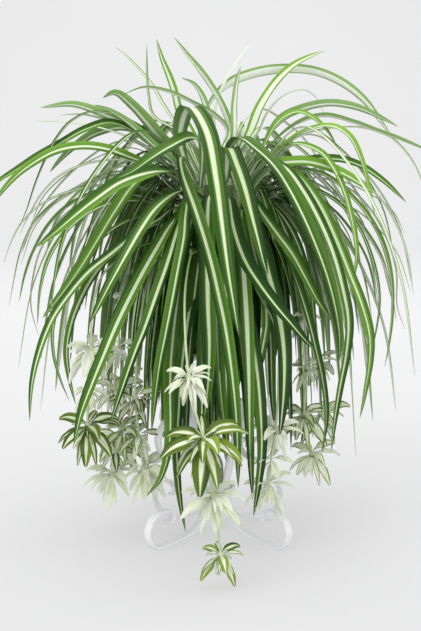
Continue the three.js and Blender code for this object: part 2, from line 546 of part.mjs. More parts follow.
function runnerRoutes() {
  const front = FRONT_RUNNERS.map(({ rise, hang }) => ({ rise, hang, place: seen }));
  const back = BACK_RUNNERS.map(({ rise, hang }) => ({
    rise, hang, place: ([x, y, z]) => new THREE.Vector3(x, y, z) }));
  return [...front, ...back].map(({ rise, hang, place }) => {
    const [x, y] = rise[0];
    const foot = new THREE.Vector3(x, y, SOIL_TOP - STOLON_DEPTH);
    const mouth = new THREE.Vector3(x, y, SOIL_TOP + MOUTH_RISE);
    const raised = rise.map((point) => new THREE.Vector3(...point));
    const placed = hang.map(place);
    const plantlets = hang.map(([, , , length, leaves], i) => ({ centre: placed[i], length, leaves }))
      .filter(({ leaves }) => leaves);
    return { foot, controls: [mouth, ...raised, ...placed], plantlets };
  });
}

// The stolon is a slim tube with flat sides, straight from its foot to the soil's top
function stolonSolid({ foot, controls }) {
  const curved = Array.from({ length: controls.length + 1 }, (_, i) => i / controls.length);
  const points = [foot, ...curvePoints(controls, curved)];
  const steps = points.length - 1;
  const frames = bladeFrames(points, [0, ...curved], 0);
  const corners = points.flatMap((point, i) => {
    const { across, up } = frames[i];
    return [[1, 0], [0, 1], [-1, 0], [0, -1]].map(([a, b]) => point.clone()
      .addScaledVector(across, a * STOLON_RADIUS).addScaledVector(up, b * STOLON_RADIUS));
  });
  const faces = [0, 1, 2, 0, 2, 3];
  for (let ring = 0; ring < steps; ring += 1) {
    for (let corner = 0; corner < STOLON_SIDES; corner += 1) {
      const a = ring * STOLON_SIDES + corner;
      const b = ring * STOLON_SIDES + (corner + 1) % STOLON_SIDES;
      faces.push(a, b + STOLON_SIDES, b, a, a + STOLON_SIDES, b + STOLON_SIDES);
    }
  }
  const end = steps * STOLON_SIDES;
  faces.push(end, end + 2, end + 1, end, end + 3, end + 2);
  const geometry = new THREE.BufferGeometry();
  geometry.setAttribute("position",
    new THREE.BufferAttribute(Float32Array.from(corners.flatMap((p) => p.toArray())), 3));
  geometry.setIndex(faces);
  return solidOf(geometry);
}

// A plantlet's leaf at one of its directions: the higher its number, the lower it leaves the hub
function plantletLeaf({ centre, length, leaves }, number, item) {
  const turn = LEAF_TURN * number + 0.6 * draw(item, 1);
  const order = (number % leaves) / leaves;
  const lift = THREE.MathUtils.degToRad(HIGHEST_LIFT - LIFT_RANGE * order + 14 * (draw(item, 2) - 0.5));
  const long = length * drawn(LONG_DRAW, item, 3);
  const out = new THREE.Vector3(Math.cos(turn) * Math.cos(lift), Math.sin(turn) * Math.cos(lift),
    Math.sin(lift));
  const seat = centre.clone().addScaledVector(out, PLANTLET_HUB * 0.5);
  seat.z += PLANTLET_HUB * (0.8 - 1.6 * order);
  const controls = LANCE_ARC.map(([ahead, sag]) => seat.clone()
    .addScaledVector(out, long * ahead).add(new THREE.Vector3(0, 0, long * sag)));
  return solidOf(bladeGeometry(controls, LANCE_SHARES, lanceWidth(long * LANCE_BREADTH), LANCE_FACE,
    LANCE_THICKNESS, CHANNEL_DEPTH));
}

// Each plantlet has a small hub on the stolon and as many leaves as keep clear of the sprays
function runnerSolids(runner, index, keepClear) {
  const solids = [stolonSolid(runner)];
  runner.plantlets.forEach((plantlet, order) => {
    const { centre, leaves } = plantlet;
    const from = centre.clone().setZ(centre.z - PLANTLET_HUB);
    const to = centre.clone().setZ(centre.z + PLANTLET_HUB);
    solids.push(solidOf(rod(from, to, PLANTLET_HUB, PLANTLET_HUB * HUB_TAPER, HUB_SIDES)));
    let grown = 0;
    for (let number = 0; number < leaves * LEAF_TRIES && grown < leaves; number += 1) {
      const item = RUNNER_START + index * RUNNER_STEP + order * PLANTLET_STEP + number;
      const leaf = plantletLeaf(plantlet, number, item);
      if (leaf.boundingBox().min[2] < LOWEST_TIP) continue;
      if (!keepClear(leaf)) continue;
      solids.push(leaf);
      grown += 1;
    }
  });
  return solids;
}

// The stand's leg, from the curled inner end of its foot scroll, round the flat spot that it stands
// on, in to the waist and out again to the strip under the tray. Points are [radius, height].
const LEG_CURL = [[100, 35.5], [94.5, 33.5], [89.5, 39], [92, 47], [101, 51], [115, 50], [128, 42],
  [135, 27], [131, 11], [122.5, 3.6]];
const LEG_RISE = [[90, 2.7], [72, 5.4], [53, 10.5], [36, 21], [24.5, 36], [18.2, 54], [18.4, 76],
  [26.5, 106], [39, 138], [52, 170], [61, 204], [63.5, 232], [58, 250], [47, 257], [34, 258]];
const SCROLL_ROUTE = [[74.7, 173.5], [78.7, 167.6], [72.7, 162.2], [64.2, 164.7], [62.3, 173.5],
  [68.7, 180.2], [80.7, 182.3], [97.7, 176.9], [110.7, 165.1], [115.2, 150], [109.7, 134.9],
  [94.7, 124], [74.7, 118.1], [55.7, 119.3], [43.7, 128.2], [43.7, 139.1], [52.7, 144.5],
  [60.7, 140.3], [58.2, 134]];

// A flat strip bent along a line of [radius, height] points, set upright in the plane at an angle
function stripGeometry(line, angle) {
  const left = [];
  const right = [];
  line.forEach(([r, z], i) => {
    const [rb, zb] = line[Math.max(i - 1, 0)];
    const [ra, za] = line[Math.min(i + 1, line.length - 1)];
    const length = Math.hypot(ra - rb, za - zb);
    const [nr, nz] = [-(za - zb) / length, (ra - rb) / length];
    const half = STRIP_THICKNESS / 2;
    left.push(new THREE.Vector2(r + nr * half, z + nz * half));
    right.unshift(new THREE.Vector2(r - nr * half, z - nz * half));
  });
  const outline = new THREE.Shape([...left, ...right]);
  const geometry = new THREE.ExtrudeGeometry(outline, { depth: STRIP_WIDTH, bevelEnabled: false });
  return geometry.translate(0, 0, -STRIP_WIDTH / 2).rotateX(Math.PI / 2).rotateZ(angle);
}

function legLine() {
  const low = STRIP_THICKNESS / 2;
  const spot = [[FOOT_RADIUS, low], [FOOT_RADIUS - FOOT_SPOT, low]];
  const curl = LEG_CURL.map(([r, z]) => [r, Math.max(z, low + 0.4)]);
  return [...curl, ...spot, ...LEG_RISE];
}

function stand() {
  const pieces = [];
  for (let number = 0; number < 4; number += 1) {
    const angle = FIRST_LEG_ANGLE + number * Math.PI / 2;
    pieces.push(part(`leg_${number + 1}`, stripGeometry(legLine(), angle), WHITE_PAINT));
    pieces.push(part(`side_scroll_${number + 1}`,
      stripGeometry(SCROLL_ROUTE, angle), WHITE_PAINT));
  }
  const collar = [[COLLAR_INNER, COLLAR_BOTTOM], [COLLAR_OUTER, COLLAR_BOTTOM],
    [COLLAR_OUTER, COLLAR_TOP], [COLLAR_INNER, COLLAR_TOP], [COLLAR_INNER, COLLAR_BOTTOM]];
  pieces.push(part("stand_collar", lathe(collar, COLLAR_SIDES), WHITE_PAINT));
  const top = TRAY_BOTTOM + TRAY_THICKNESS;
  const tray = [[0, TRAY_BOTTOM], [TRAY_RADIUS, TRAY_BOTTOM], [TRAY_RADIUS + 2, TRAY_BOTTOM + 2],
    [TRAY_RADIUS + 1, top + 2], [TRAY_RADIUS - 1.5, top], [0, top]];
  pieces.push(part("stand_tray", lathe(tray, ROUND_SIDES), WHITE_PAINT));
  return pieces;
}

function pot() {
  const rim = POT_BOTTOM + POT_HEIGHT;
  const outer = POT_BASE_RADIUS;
  const inner = outer - POT_WALL;
  const profile = [[0, POT_BOTTOM], [outer - 2, POT_BOTTOM], [outer, POT_BOTTOM + 2],
    [POT_RIM_RADIUS - 2.4, rim - RIM_BAND], [POT_RIM_RADIUS, rim - RIM_BAND + 1],
    [POT_RIM_RADIUS, rim - 1], [POT_RIM_RADIUS - 1, rim], [POT_RIM_RADIUS - 4, rim],
    [POT_RIM_RADIUS - RIM_WIDTH, rim - RIM_BAND], [inner, POT_FLOOR], [0, POT_FLOOR]];
  return part("pot", lathe(profile, ROUND_SIDES), POT_BEIGE);
}

function soil(holes) {
  const inner = POT_BASE_RADIUS - POT_WALL;
  const lip = POT_RIM_RADIUS - RIM_WIDTH;
  const share = (SOIL_TOP - POT_FLOOR) / (POT_BOTTOM + POT_HEIGHT - RIM_BAND - POT_FLOOR);
  const top = inner + (lip - inner) * share;
  const profile = [[0, POT_FLOOR + FIT_GAP], [inner - SOIL_GAP, POT_FLOOR + FIT_GAP],
    [top - SOIL_GAP, SOIL_TOP], [0, SOIL_TOP]];
  let solid = solidOf(lathe(profile, ROUND_SIDES));
  for (const { x, y, radius, depth } of holes) {
    const foot = new THREE.Vector3(x, y, SOIL_TOP - depth - HOLE_GAP);
    const mouth = new THREE.Vector3(x, y, SOIL_TOP + 1);
    const sides = radius > STOLON_RADIUS ? STEM_SIDES : STOLON_SIDES;
    const wide = (radius + HOLE_GAP) / Math.cos(Math.PI / sides);
    solid = solid.subtract(solidOf(rod(foot, mouth, wide, wide, sides)));
  }
  return part("soil", geometryOf(solid), SOIL_BROWN);
}

// A leaf that the front view hides grows only where it keeps clear of every other spray and runner
function clearOf(solid, others) {
  const mine = solid.boundingBox();
  return others.every((other) => {
    const its = other.boundingBox();
    const apart = [0, 1, 2].some((k) => mine.min[k] > its.max[k] + NODE_CLEARANCE
      || its.min[k] > mine.max[k] + NODE_CLEARANCE);
    return apart || solid.minGap(other, NODE_CLEARANCE * 2) > NODE_CLEARANCE;
  });
}

// The solid with the ends of each edge shorter than this brought together
const SHORT_EDGE = 0.08;
function withoutShortEdges(solid) {
  const { vertProperties, triVerts } = solid.getMesh();
  const place = (corner) => new THREE.Vector3().fromArray(vertProperties, corner * 3);
  const stands = Array.from({ length: vertProperties.length / 3 }, (_, corner) => corner);
  const standing = (corner) => (stands[corner] === corner ? corner : standing(stands[corner]));
  const faces = Array.from({ length: triVerts.length / 3 }, (_, i) => [...triVerts.slice(i * 3, i * 3 + 3)]);
  for (const face of faces) {
    face.forEach((corner, k) => {
      const next = face[(k + 1) % 3];
      if (place(corner).distanceTo(place(next)) < SHORT_EDGE) stands[standing(next)] = standing(corner);
    });
  }
  const kept = faces.map((face) => face.map(standing)).filter((face) => new Set(face).size === 3);
  return new Manifold(new SolidMesh({
    numProp: 3, vertProperties, triVerts: Uint32Array.from(kept.flat()) }));
}

// One solid from leaves and stem; a speck that the joining leaves loose is left out
const FLATNESS = 0.03;
function grownTogether(solids) {
  const pieces = withoutShortEdges(Manifold.union(solids).simplify(FLATNESS)).decompose();
  return pieces.sort((a, b) => b.volume() - a.volume())[0];
}

const RUNNERS = runnerRoutes();
function plant(standing) {
  const grown = Object.fromEntries(
    Object.entries(SPRAYS).map(([name, spray]) => [name, [stemSolid(spray)]]));
  for (const leaf of shownLeaves()) grown[leaf.spray].push(leafSolid(leaf));
  const fixed = standing.map(({ geometry }) => solidOf(geometry));
  const shown = [...fixed, ...Object.values(grown).flat()];
  const runners = [];
  RUNNERS.forEach((runner, index) => {
    const earlier = [...shown, ...runners.flat()];
    runners.push(runnerSolids(runner, index, (leaf) => clearOf(leaf, earlier)));
  });
  for (const leaf of hiddenLeaves()) {
    const solid = leafSolid(leaf);
    const others = Object.entries(grown).filter(([name]) => name !== leaf.spray)
      .flatMap(([, solids]) => solids);
    if (clearOf(solid, [...fixed, ...others, ...runners.flat()])) grown[leaf.spray].push(solid);
  }
  const sprays = Object.entries(grown).map(([name, solids]) => part(
    `spray_${name}`, geometryOf(grownTogether(solids)), LEAF_GREEN));
  const stolons = runners.map((solids, i) => part(
    `runner_${i + 1}`, geometryOf(grownTogether(solids)), PLANTLET_CREAM));
  return [...sprays, ...stolons];
}

const holes = [
  ...Object.values(SPRAYS).map(({ at }) => (
    { x: at[0], y: at[1], radius: STEM_RADIUS, depth: ROOT_DEPTH })),
  ...RUNNERS.map(({ foot }) => (
    { x: foot.x, y: foot.y, radius: STOLON_RADIUS, depth: STOLON_DEPTH })),
];
const group = new THREE.Group();
const standing = [...stand(), pot(), soil(holes)];
group.add(...standing, ...plant(standing.slice(0, -1)));

// All is made about the stand's axis, and then moved so that the origin is under the middle of the
// whole plant
const middle = new THREE.Box3().setFromObject(group, true).getCenter(new THREE.Vector3());
group.position.set(-middle.x, -middle.y, 0);

export default group;
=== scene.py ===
"""A potted spider plant on a wrought strip stand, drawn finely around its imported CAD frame.

Every leaf is a blade swept along a smooth curve through the points that the CAD leaf has. At a share s
of its length a strap leaf is w(s) = W (0.25 + 0.75 smooth(s / 0.28)) (1 - s^5)^0.75 wide, so it is narrow
at the root, even for most of its length and then drawn in to a short point. Its section is a channel: a
point at u across (-1 at one margin, 0 on the midrib, 1 at the other) is raised by channel * w/2 * |u|^1.5,
and the blade is thickest on the midrib and thins to nothing at the margins. Hidden leaves follow the same
rule and the same draws as in the CAD model, and a leaf is drawn only if its tip is a point of the CAD
node. Further leaves, too many to tell apart, hang between and behind these and hardly hide them.

The plant's sizes are in millimetres and are brought to metres where a mesh is made; the room's are in
metres. +Z is up, the front faces -Y.
"""

from math import atan2, cos, hypot, pi, radians, sin

import bpy
import numpy as np
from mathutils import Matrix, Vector


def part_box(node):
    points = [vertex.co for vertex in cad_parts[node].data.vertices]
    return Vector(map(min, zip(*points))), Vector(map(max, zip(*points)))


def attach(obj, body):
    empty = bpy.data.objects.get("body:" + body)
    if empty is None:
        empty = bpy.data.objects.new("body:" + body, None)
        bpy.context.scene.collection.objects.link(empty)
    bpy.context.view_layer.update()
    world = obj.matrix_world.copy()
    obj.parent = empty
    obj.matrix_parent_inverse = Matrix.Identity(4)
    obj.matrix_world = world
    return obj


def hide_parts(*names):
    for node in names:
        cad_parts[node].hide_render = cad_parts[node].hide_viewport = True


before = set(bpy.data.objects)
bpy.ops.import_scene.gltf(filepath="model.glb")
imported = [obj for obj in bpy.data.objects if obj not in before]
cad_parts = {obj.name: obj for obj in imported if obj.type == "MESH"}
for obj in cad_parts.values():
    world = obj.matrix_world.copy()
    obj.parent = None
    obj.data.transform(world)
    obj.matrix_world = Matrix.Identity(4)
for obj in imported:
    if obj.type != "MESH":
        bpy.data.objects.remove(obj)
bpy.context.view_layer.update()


# The camera
# It stands where the photograph was taken from: in front of the plant, about as high as its crown. This
# place and all of the plant's are taken from the stand's axis, which is the pot's, and from the floor.

MM = 0.001
low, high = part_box("pot")
AXIS = np.array([(low.x + high.x) / 2, (low.y + high.y) / 2, 0]) / MM
EYE = np.array([-10.5, -1683.5, 547.6])
AIM = np.array([-10.5, 0.0, 311.0])
FOCAL_PIXELS = 1214
LONG_SIDE_PIXELS = 631
SENSOR = 36.0


def put_in_room(name, data):
    placed = bpy.data.objects.new(name, data)
    bpy.context.scene.collection.objects.link(placed)
    return placed


bpy.context.scene.view_settings.view_transform = "Standard"
camera_data = bpy.data.cameras.new("camera")
camera_data.sensor_width = SENSOR
camera_data.lens = FOCAL_PIXELS / LONG_SIDE_PIXELS * SENSOR
camera = put_in_room("camera", camera_data)
camera.location = Vector((EYE + AXIS) * MM)
camera.rotation_euler = Vector(AIM - EYE).to_track_quat("-Z", "Y").to_euler()
bpy.context.scene.camera = camera


# Leaf blades
# A blade is a thin closed skin of cloth on a wire, green with a cream stripe, that is rooted in a stem.
# What is here makes any skin from rings of points, and places and turns a blade along its curve.

STEPS_PER_SPAN = 16
BLADE_POINTS = 9
LEAST_HALF_WIDTH = 0.12
RIPPLES = 3.1
RIPPLE_LAG = 0.37
# The shares of a blade's length between which it turns to the front, and where its side is chosen
TURN_FROM, TURN_BY, SIDE_AT = 0.12, 0.4, 0.7


def draw(item, choice):
    """A fixed draw between 0 and 1 for the thing numbered item and its choice numbered choice."""
    mixed = (item * 374761393 + choice * 668265263) & 0xFFFFFFFF
    mixed = ((mixed ^ (mixed >> 13)) * 1274126177) & 0xFFFFFFFF
    return (mixed ^ (mixed >> 16)) / 2**32


def smooth(low, high, value):
    """0 at low, 1 at high and x^2 (3 - 2x) at a share x of the way between; low may be the larger."""
    x = np.clip((value - low) / (high - low), 0, 1)
    return x * x * (3 - 2 * x)


def unit(vectors):
    return vectors / np.linalg.norm(vectors, axis=-1, keepdims=True)


def together(*parts):
    """Arrays spread to one shape and put side by side along a new last axis."""
    return np.stack(np.broadcast_arrays(*parts), axis=-1)


def curve_points(controls, shares):
    """Points at the given shares of the length of the smooth curve through the controls.

    Between two controls it is a cubic, whose slope at each is half the way between its two neighbours."""
    held = np.vstack([2 * controls[0] - controls[1], controls, 2 * controls[-1] - controls[-2]])
    t = np.arange(STEPS_PER_SPAN)[:, None] / STEPS_PER_SPAN
    spans = [
        0.5 * (2 * b + (c - a) * t + (2 * a - 5 * b + 4 * c - d) * t**2 + (3 * b - a - 3 * c + d) * t**3)
        for a, b, c, d in zip(held[:-3], held[1:-2], held[2:-1], held[3:])
    ]
    dense = np.vstack([*spans, controls[-1:]])
    travelled = np.append(0, np.cumsum(np.linalg.norm(np.diff(dense, axis=0), axis=1)))
    goals = shares * travelled[-1]
    return together(*(np.interp(goals, travelled, dense[:, k]) for k in range(3)))


def blade_frames(points, shares, face):
    """Directions across a blade, turned by face (0 to 1) towards the front, and of its upper side."""
    reach = unit((points[-1] - points[0]) * [1, 1, 0])
    level = np.cross(reach, [0, 0, 1])
    along = unit(np.gradient(points, axis=0))
    across = unit(level - along * (along @ level)[:, None])
    broad = unit(np.cross(along, unit(EYE - points)))
    chosen = int(len(points) * SIDE_AT)
    side = -1 if across[chosen] @ broad[chosen] < 0 else 1
    weight = (face * smooth(TURN_FROM, TURN_BY, shares))[:, None]
    turned = across * (1 - weight) + broad * side * weight
    turned = unit(turned - along * np.sum(turned * along, axis=1, keepdims=True))
    return turned, np.cross(turned, along)


class Skin:
    """Closed skins, each a row of rings of points, gathered into one piece.

    Every point has a place (across, along) for the material, and a tint (tone, under, pale)."""

    def __init__(self):
        self.points, self.places, self.tints, self.quads, self.caps = [], [], [], [], []
        self.count = 0

    def add(self, rings, places=np.zeros(2), tints=np.zeros(3), closed=False):
        stations, around = rings.shape[:2]
        spans = stations if closed else stations - 1
        start = np.arange(spans)[:, None] * around
        onward = (start + around) % (stations * around)
        k = np.arange(around)
        beside = (k + 1) % around
        quads = np.stack([start + k, start + beside, onward + beside, onward + k], axis=-1) + self.count
        self.points.append(rings.reshape(-1, 3))
        self.places.append(np.broadcast_to(places, (stations, around, 2)).reshape(-1, 2))
        self.tints.append(np.broadcast_to(tints, (stations, around, 3)).reshape(-1, 3))
        self.quads.append(quads.reshape(-1, 4))
        if not closed:
            first = self.count + k
            self.caps += [first[::-1].tolist(), (first + (stations - 1) * around).tolist()]
        self.count += stations * around

    def piece(self, name, material, slot, *nodes, crease=50):
        points = (np.vstack(self.points) + AXIS) * MM
        quads = np.vstack(self.quads)
        mesh = bpy.data.meshes.new(name)
        mesh.from_pydata(points.tolist(), [], quads.tolist() + self.caps)
        corners = np.empty(len(mesh.loops), np.int32)
        mesh.loops.foreach_get("vertex_index", corners)
        places = mesh.uv_layers.new(name="place")
        places.uv.foreach_set("vector", np.vstack(self.places)[corners].astype(np.float32).ravel())
        tints = np.hstack([np.vstack(self.tints), np.ones((len(points), 1))])
        tint = mesh.attributes.new("tint", "FLOAT_COLOR", "POINT")
        tint.data.foreach_set("color", tints.astype(np.float32).ravel())
        mesh.polygons.foreach_set("use_smooth", np.ones(len(mesh.polygons), bool))
        mesh.set_sharp_from_angle(angle=radians(crease))
        mesh.materials.append(material)
        placed = put_in_room(name, mesh)
        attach(placed, "root")
        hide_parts(*nodes)


def add_blade(skin, controls, face, width_at, make, tone_and_painted_light, pale, phase):
    """A blade of the given width along its curve, its margins raised to a channel and rippled.

    make is its number of stations, its thickness, and its channel and ripple as shares of its half width."""
    stations, thickness, channel, ripple = make
    shares = np.linspace(0, 1, stations)
    points = curve_points(np.array(controls), shares)
    across, up = blade_frames(points, shares, face)
    half = np.maximum(width_at(shares) / 2, LEAST_HALF_WIDTH)[:, None]
    u = np.sin(np.linspace(-pi / 2, pi / 2, BLADE_POINTS))
    u = np.append(u, u[-2:0:-1])
    side = np.append(np.ones(BLADE_POINTS), -np.ones(BLADE_POINTS - 2))
    wave = np.sin(2 * pi * (shares[:, None] * RIPPLES + phase + RIPPLE_LAG * np.sign(u))) * np.abs(u) ** 2
    lift = channel * half * np.abs(u) ** 1.5 + ripple * half * wave
    lift = lift + side * thickness / 2 * (1 - u**2) * (0.4 + 0.6 * half / half.max())
    rings = points[:, None] + across[:, None] * half[..., None] * u[:, None] + up[:, None] * lift[..., None]
    under = (side < 0) & (np.abs(u) < 0.999)
    skin.add(rings, together((u + 1) / 2, shares[:, None]), together(tone_and_painted_light, under[None], pale))


def add_tube(skin, points, radii, sides, tint):
    """A round tube of rings square to the way along points, which never runs along no_way."""
    no_way = [0.31, 0.95, 0.05]
    along = unit(np.gradient(points, axis=0))
    across = unit(np.cross(along, no_way))
    up = np.cross(across, along)
    turn = np.arange(sides) / sides * 2 * pi
    ring = across[:, None] * np.cos(turn)[:, None] + up[:, None] * np.sin(turn)[:, None]
    rings = points[:, None] + ring * radii[:, None, None]
    places = together(turn / (2 * pi), np.linspace(0, 1, len(points))[:, None])
    skin.add(rings[:, ::-1], places[:, ::-1], np.array(tint))


def strap_width(width):
    return lambda s: width * (0.25 + 0.75 * smooth(0, 0.28, s)) * (1 - s**5) ** 0.75


def lance_width(width):
    """At a share s of its length a lance is W (0.22 + 0.78 sin(pi s^0.85)^0.9) wide."""
    return lambda s: width * (0.22 + 0.78 * np.sin(pi * s**0.85) ** 0.9)


# Leaf colours
# The cloth is printed: green beside a cream middle stripe, with fine veins along the blade. The print
# follows the blade's own place across and along, and pale says how far a leaf is bleached to cream. Light
# and
# shade are painted over the print: one half of a blade lighter, whole leaves lighter or darker by how light
# falls on them, and undersides lighter as light shining through.


class Nodes:
    """A material whose colour and bump are worked out by small sums of nodes."""

    def __init__(self, name, roughness):
        self.material = bpy.data.materials.new(name)
        self.material.use_nodes = True
        self.tree = self.material.node_tree
        self.shader = self.tree.nodes["Principled BSDF"]
        self.shader.inputs["Roughness"].default_value = roughness

    def add(self, kind):
        return self.tree.nodes.new("ShaderNode" + kind)

    def put(self, socket, value):
        if isinstance(value, bpy.types.NodeSocket):
            self.tree.links.new(value, socket)
        elif isinstance(value, tuple) and len(value) == 3 and socket.type == "RGBA":
            socket.default_value = (*value, 1)
        else:
            socket.default_value = value

    def math(self, operation, a, b=0.0, c=0.0):
        node = self.add("Math")
        node.operation = operation
        for socket, value in zip(node.inputs, (a, b, c)):
            self.put(socket, value)
        return node.outputs[0]

    def plus(self, a, b):
        return self.math("ADD", a, b)

    def times(self, a, b):
        return self.math("MULTIPLY", a, b)

    def line(self, a, b, c):
        """a times b, plus c."""
        return self.math("MULTIPLY_ADD", a, b, c)

    def step(self, low, high, value):
        """0 below low, 1 above high and smooth between; low may be the larger."""
        node = self.add("MapRange")
        node.interpolation_type = "SMOOTHSTEP"
        for name, v in (("Value", value), ("From Min", low), ("From Max", high)):
            self.put(node.inputs[name], v)
        return node.outputs[0]

    def mix(self, share, a, b):
        node = self.add("Mix")
        node.data_type = "RGBA"
        for socket, value in ((node.inputs[0], share), (node.inputs[6], a), (node.inputs[7], b)):
            self.put(socket, value)
        return node.outputs[2]

    def noise(self, where, scale, detail=3.0):
        """Noise whose scale along each axis of where is given."""
        stretched = self.add("VectorMath")
        stretched.operation = "MULTIPLY"
        self.put(stretched.inputs[0], where)
        self.put(stretched.inputs[1], scale)
        node = self.add("TexNoise")
        self.put(node.inputs["Vector"], stretched.outputs[0])
        self.put(node.inputs["Scale"], 1.0)
        self.put(node.inputs["Detail"], detail)
        return node.outputs[0]

    def coordinates(self):
        return self.add("TexCoord").outputs["Object"]

    def place(self):
        """The place across and along a blade, and as one vector."""
        node = self.add("UVMap")
        node.uv_map = "place"
        split = self.add("SeparateXYZ")
        self.put(split.inputs[0], node.outputs[0])
        return split.outputs[0], split.outputs[1], node.outputs[0]

    def tint(self):
        node = self.add("Attribute")
        node.attribute_name = "tint"
        split = self.add("SeparateColor")
        self.put(split.inputs[0], node.outputs["Color"])
        return split.outputs[0], split.outputs[1], split.outputs[2]

    def finish(self, colour, height=None, depth=0.0002, roughness=None):
        self.put(self.shader.inputs["Base Color"], colour)
        if roughness is not None:
            self.put(self.shader.inputs["Roughness"], roughness)
        if height is not None:
            bump = self.add("Bump")
            self.put(bump.inputs["Height"], height)
            self.put(bump.inputs["Distance"], depth)
            self.put(bump.inputs["Strength"], 1.0)
            self.put(self.shader.inputs["Normal"], bump.outputs[0])
        return self.material


def leaf_material(name, stripe, veins, dark, middle, bright, cream, white, underside_lit_through):
    """Green blades with a cream stripe; stripe is its half width as a share of the blade's, and veins is
    how close its streaks are.

    Thin bright streaks run beside the stripe, and one side of the blade is painted lighter than the other,
    as painted light on a folded blade. A leaf with a higher first tint is lighter, by its own random
    lightness and by painted light and shade, and one with more pale has a broader stripe."""
    n = Nodes(name, 0.42)
    n.shader.inputs["Specular IOR Level"].default_value = 0.2
    across, along, where = n.place()
    tone_and_painted_light, under, pale = n.tint()
    offset = n.add("CombineXYZ")
    n.put(offset.inputs[2], n.times(tone_and_painted_light, 37.0))
    shift = n.add("VectorMath")
    n.put(shift.inputs[0], where)
    n.put(shift.inputs[1], offset.outputs[0])
    where = shift.outputs[0]
    signed = n.line(across, 2.0, -1.0)
    out = n.math("ABSOLUTE", signed)
    fine = n.noise(where, (veins, 1.3, 9.0), 2.0)
    broad = n.noise(where, (veins / 5, 0.8, 5.0), 2.0)
    edge = n.plus(out, n.line(broad, 0.16, -0.08))
    edge = n.plus(edge, n.line(fine, 0.18, -0.09))
    # The stripe is broader at the root and where the leaf is pale, and narrows towards the tip
    reach = n.line(pale, 0.95, stripe)
    reach = n.line(n.step(0.16, 0.0, along), 0.2, reach)
    narrowing = n.times(n.step(0.45, 1.0, along), n.step(0.9, 0.3, pale))
    reach = n.times(reach, n.line(narrowing, -0.55, 1.0))
    inside = n.math("SUBTRACT", reach, edge)
    striped = n.step(-0.03, 0.05, inside)
    # The green is painted lighter on one half of the blade, painted light as on a folded blade, and it is
    # lighter beside the stripe and along fine hairs
    side_light = n.times(signed, n.math("SINE", n.times(tone_and_painted_light, 60.0)))
    mixed = n.line(fine, 0.5, n.line(tone_and_painted_light, 0.9, -0.25))
    green = n.mix(n.line(side_light, 0.25, mixed), dark, middle)
    border = n.times(n.step(-0.24, 0.0, inside), n.line(tone_and_painted_light, 0.5, 0.3))
    # Painted light: the lighter half of the blade
    lit = n.times(n.step(0.0, 0.7, side_light), n.line(tone_and_painted_light, 0.6, 0.1))
    hair = n.step(0.5, 0.62, n.noise(where, (veins * 1.7, 0.5, 7.0), 1.0))
    hair = n.times(hair, n.line(n.step(-0.75, -0.1, inside), 0.6, 0.12))
    hair = n.times(hair, n.line(tone_and_painted_light, 0.8, 0.35))
    green = n.mix(n.math("MAXIMUM", hair, n.math("MAXIMUM", border, lit)), green, bright)
    # Painted light: leaves painted lighter get a lighter green and a whiter stripe
    green = n.mix(n.times(n.step(0.5, 1.0, tone_and_painted_light), 0.55), green, bright)
    cloth = n.mix(n.times(n.step(0.56, 0.42, fine), 0.42), n.mix(tone_and_painted_light, cream, white), bright)
    colour = n.mix(striped, green, cloth)
    # The underside is paler, as the cloth's back is, and painted lighter still, most on leaves painted
    # lighter, as painted light shining through; the cloth is ribbed along its veins
    below = n.mix(striped, underside_lit_through, (0.98, 0.98, 0.94))
    colour = n.mix(n.times(under, n.line(tone_and_painted_light, 0.55, 0.2)), colour, below)
    height = n.plus(fine, n.times(striped, 0.5))
    return n.finish(colour, height, 0.00035, n.line(fine, 0.16, 0.36))


# The underside colours are paler cloth with painted light shining through added
STRAP = leaf_material(
    "strap leaf", stripe=0.14, veins=26.0,
    dark=(0.004, 0.036, 0.003), middle=(0.040, 0.150, 0.010), bright=(0.24, 0.46, 0.045),
    cream=(0.66, 0.74, 0.50), white=(0.86, 0.89, 0.80), underside_lit_through=(0.32, 0.50, 0.20))
LANCE = leaf_material(
    "plantlet leaf", stripe=0.27, veins=14.0,
    dark=(0.024, 0.060, 0.006), middle=(0.11, 0.185, 0.012), bright=(0.27, 0.37, 0.04),
    cream=(0.75, 0.79, 0.60), white=(0.80, 0.82, 0.75), underside_lit_through=(0.72, 0.77, 0.60))


def stem_material(name, dark, light, young):
    """Streaked along, and of the young colour for the first quarter of its way from the soil."""
    n = Nodes(name, 0.45)
    where = n.coordinates()
    streak = n.noise(where, (700.0, 700.0, 60.0), 2.0)
    patch = n.noise(where, (60.0, 60.0, 25.0), 2.0)
    colour = n.mix(n.line(streak, 0.5, n.times(patch, 0.5)), dark, light)
    colour = n.mix(n.step(0.5, 0.25, n.place()[1]), colour, young)
    return n.finish(colour, streak, 0.0003)


STEM = stem_material("stem", (0.10, 0.22, 0.05), (0.42, 0.52, 0.24), (0.10, 0.22, 0.05))
STOLON = stem_material("stolon", (0.36, 0.46, 0.22), (0.66, 0.72, 0.50), (0.08, 0.18, 0.03))


# Sprays
# Eight green stems stand in the soil round the crown, and each carries its own strap leaves. The leaves
# that the photograph shows are listed; the ones that it hides follow a rule.

# Where each spray's stem stands, as x and y, and how high its head is
SPRAYS = {
  "crown": (0, 6, 512),
  "front": (5, -27, 488),
  "front_left": (-25, -17, 494),
  "left": (-31, 11, 498),
  "back_left": (-15, 33, 492),
  "back_right": (16, 33, 492),
  "right": (33, 10, 498),
  "front_right": (28, -17, 490),
}

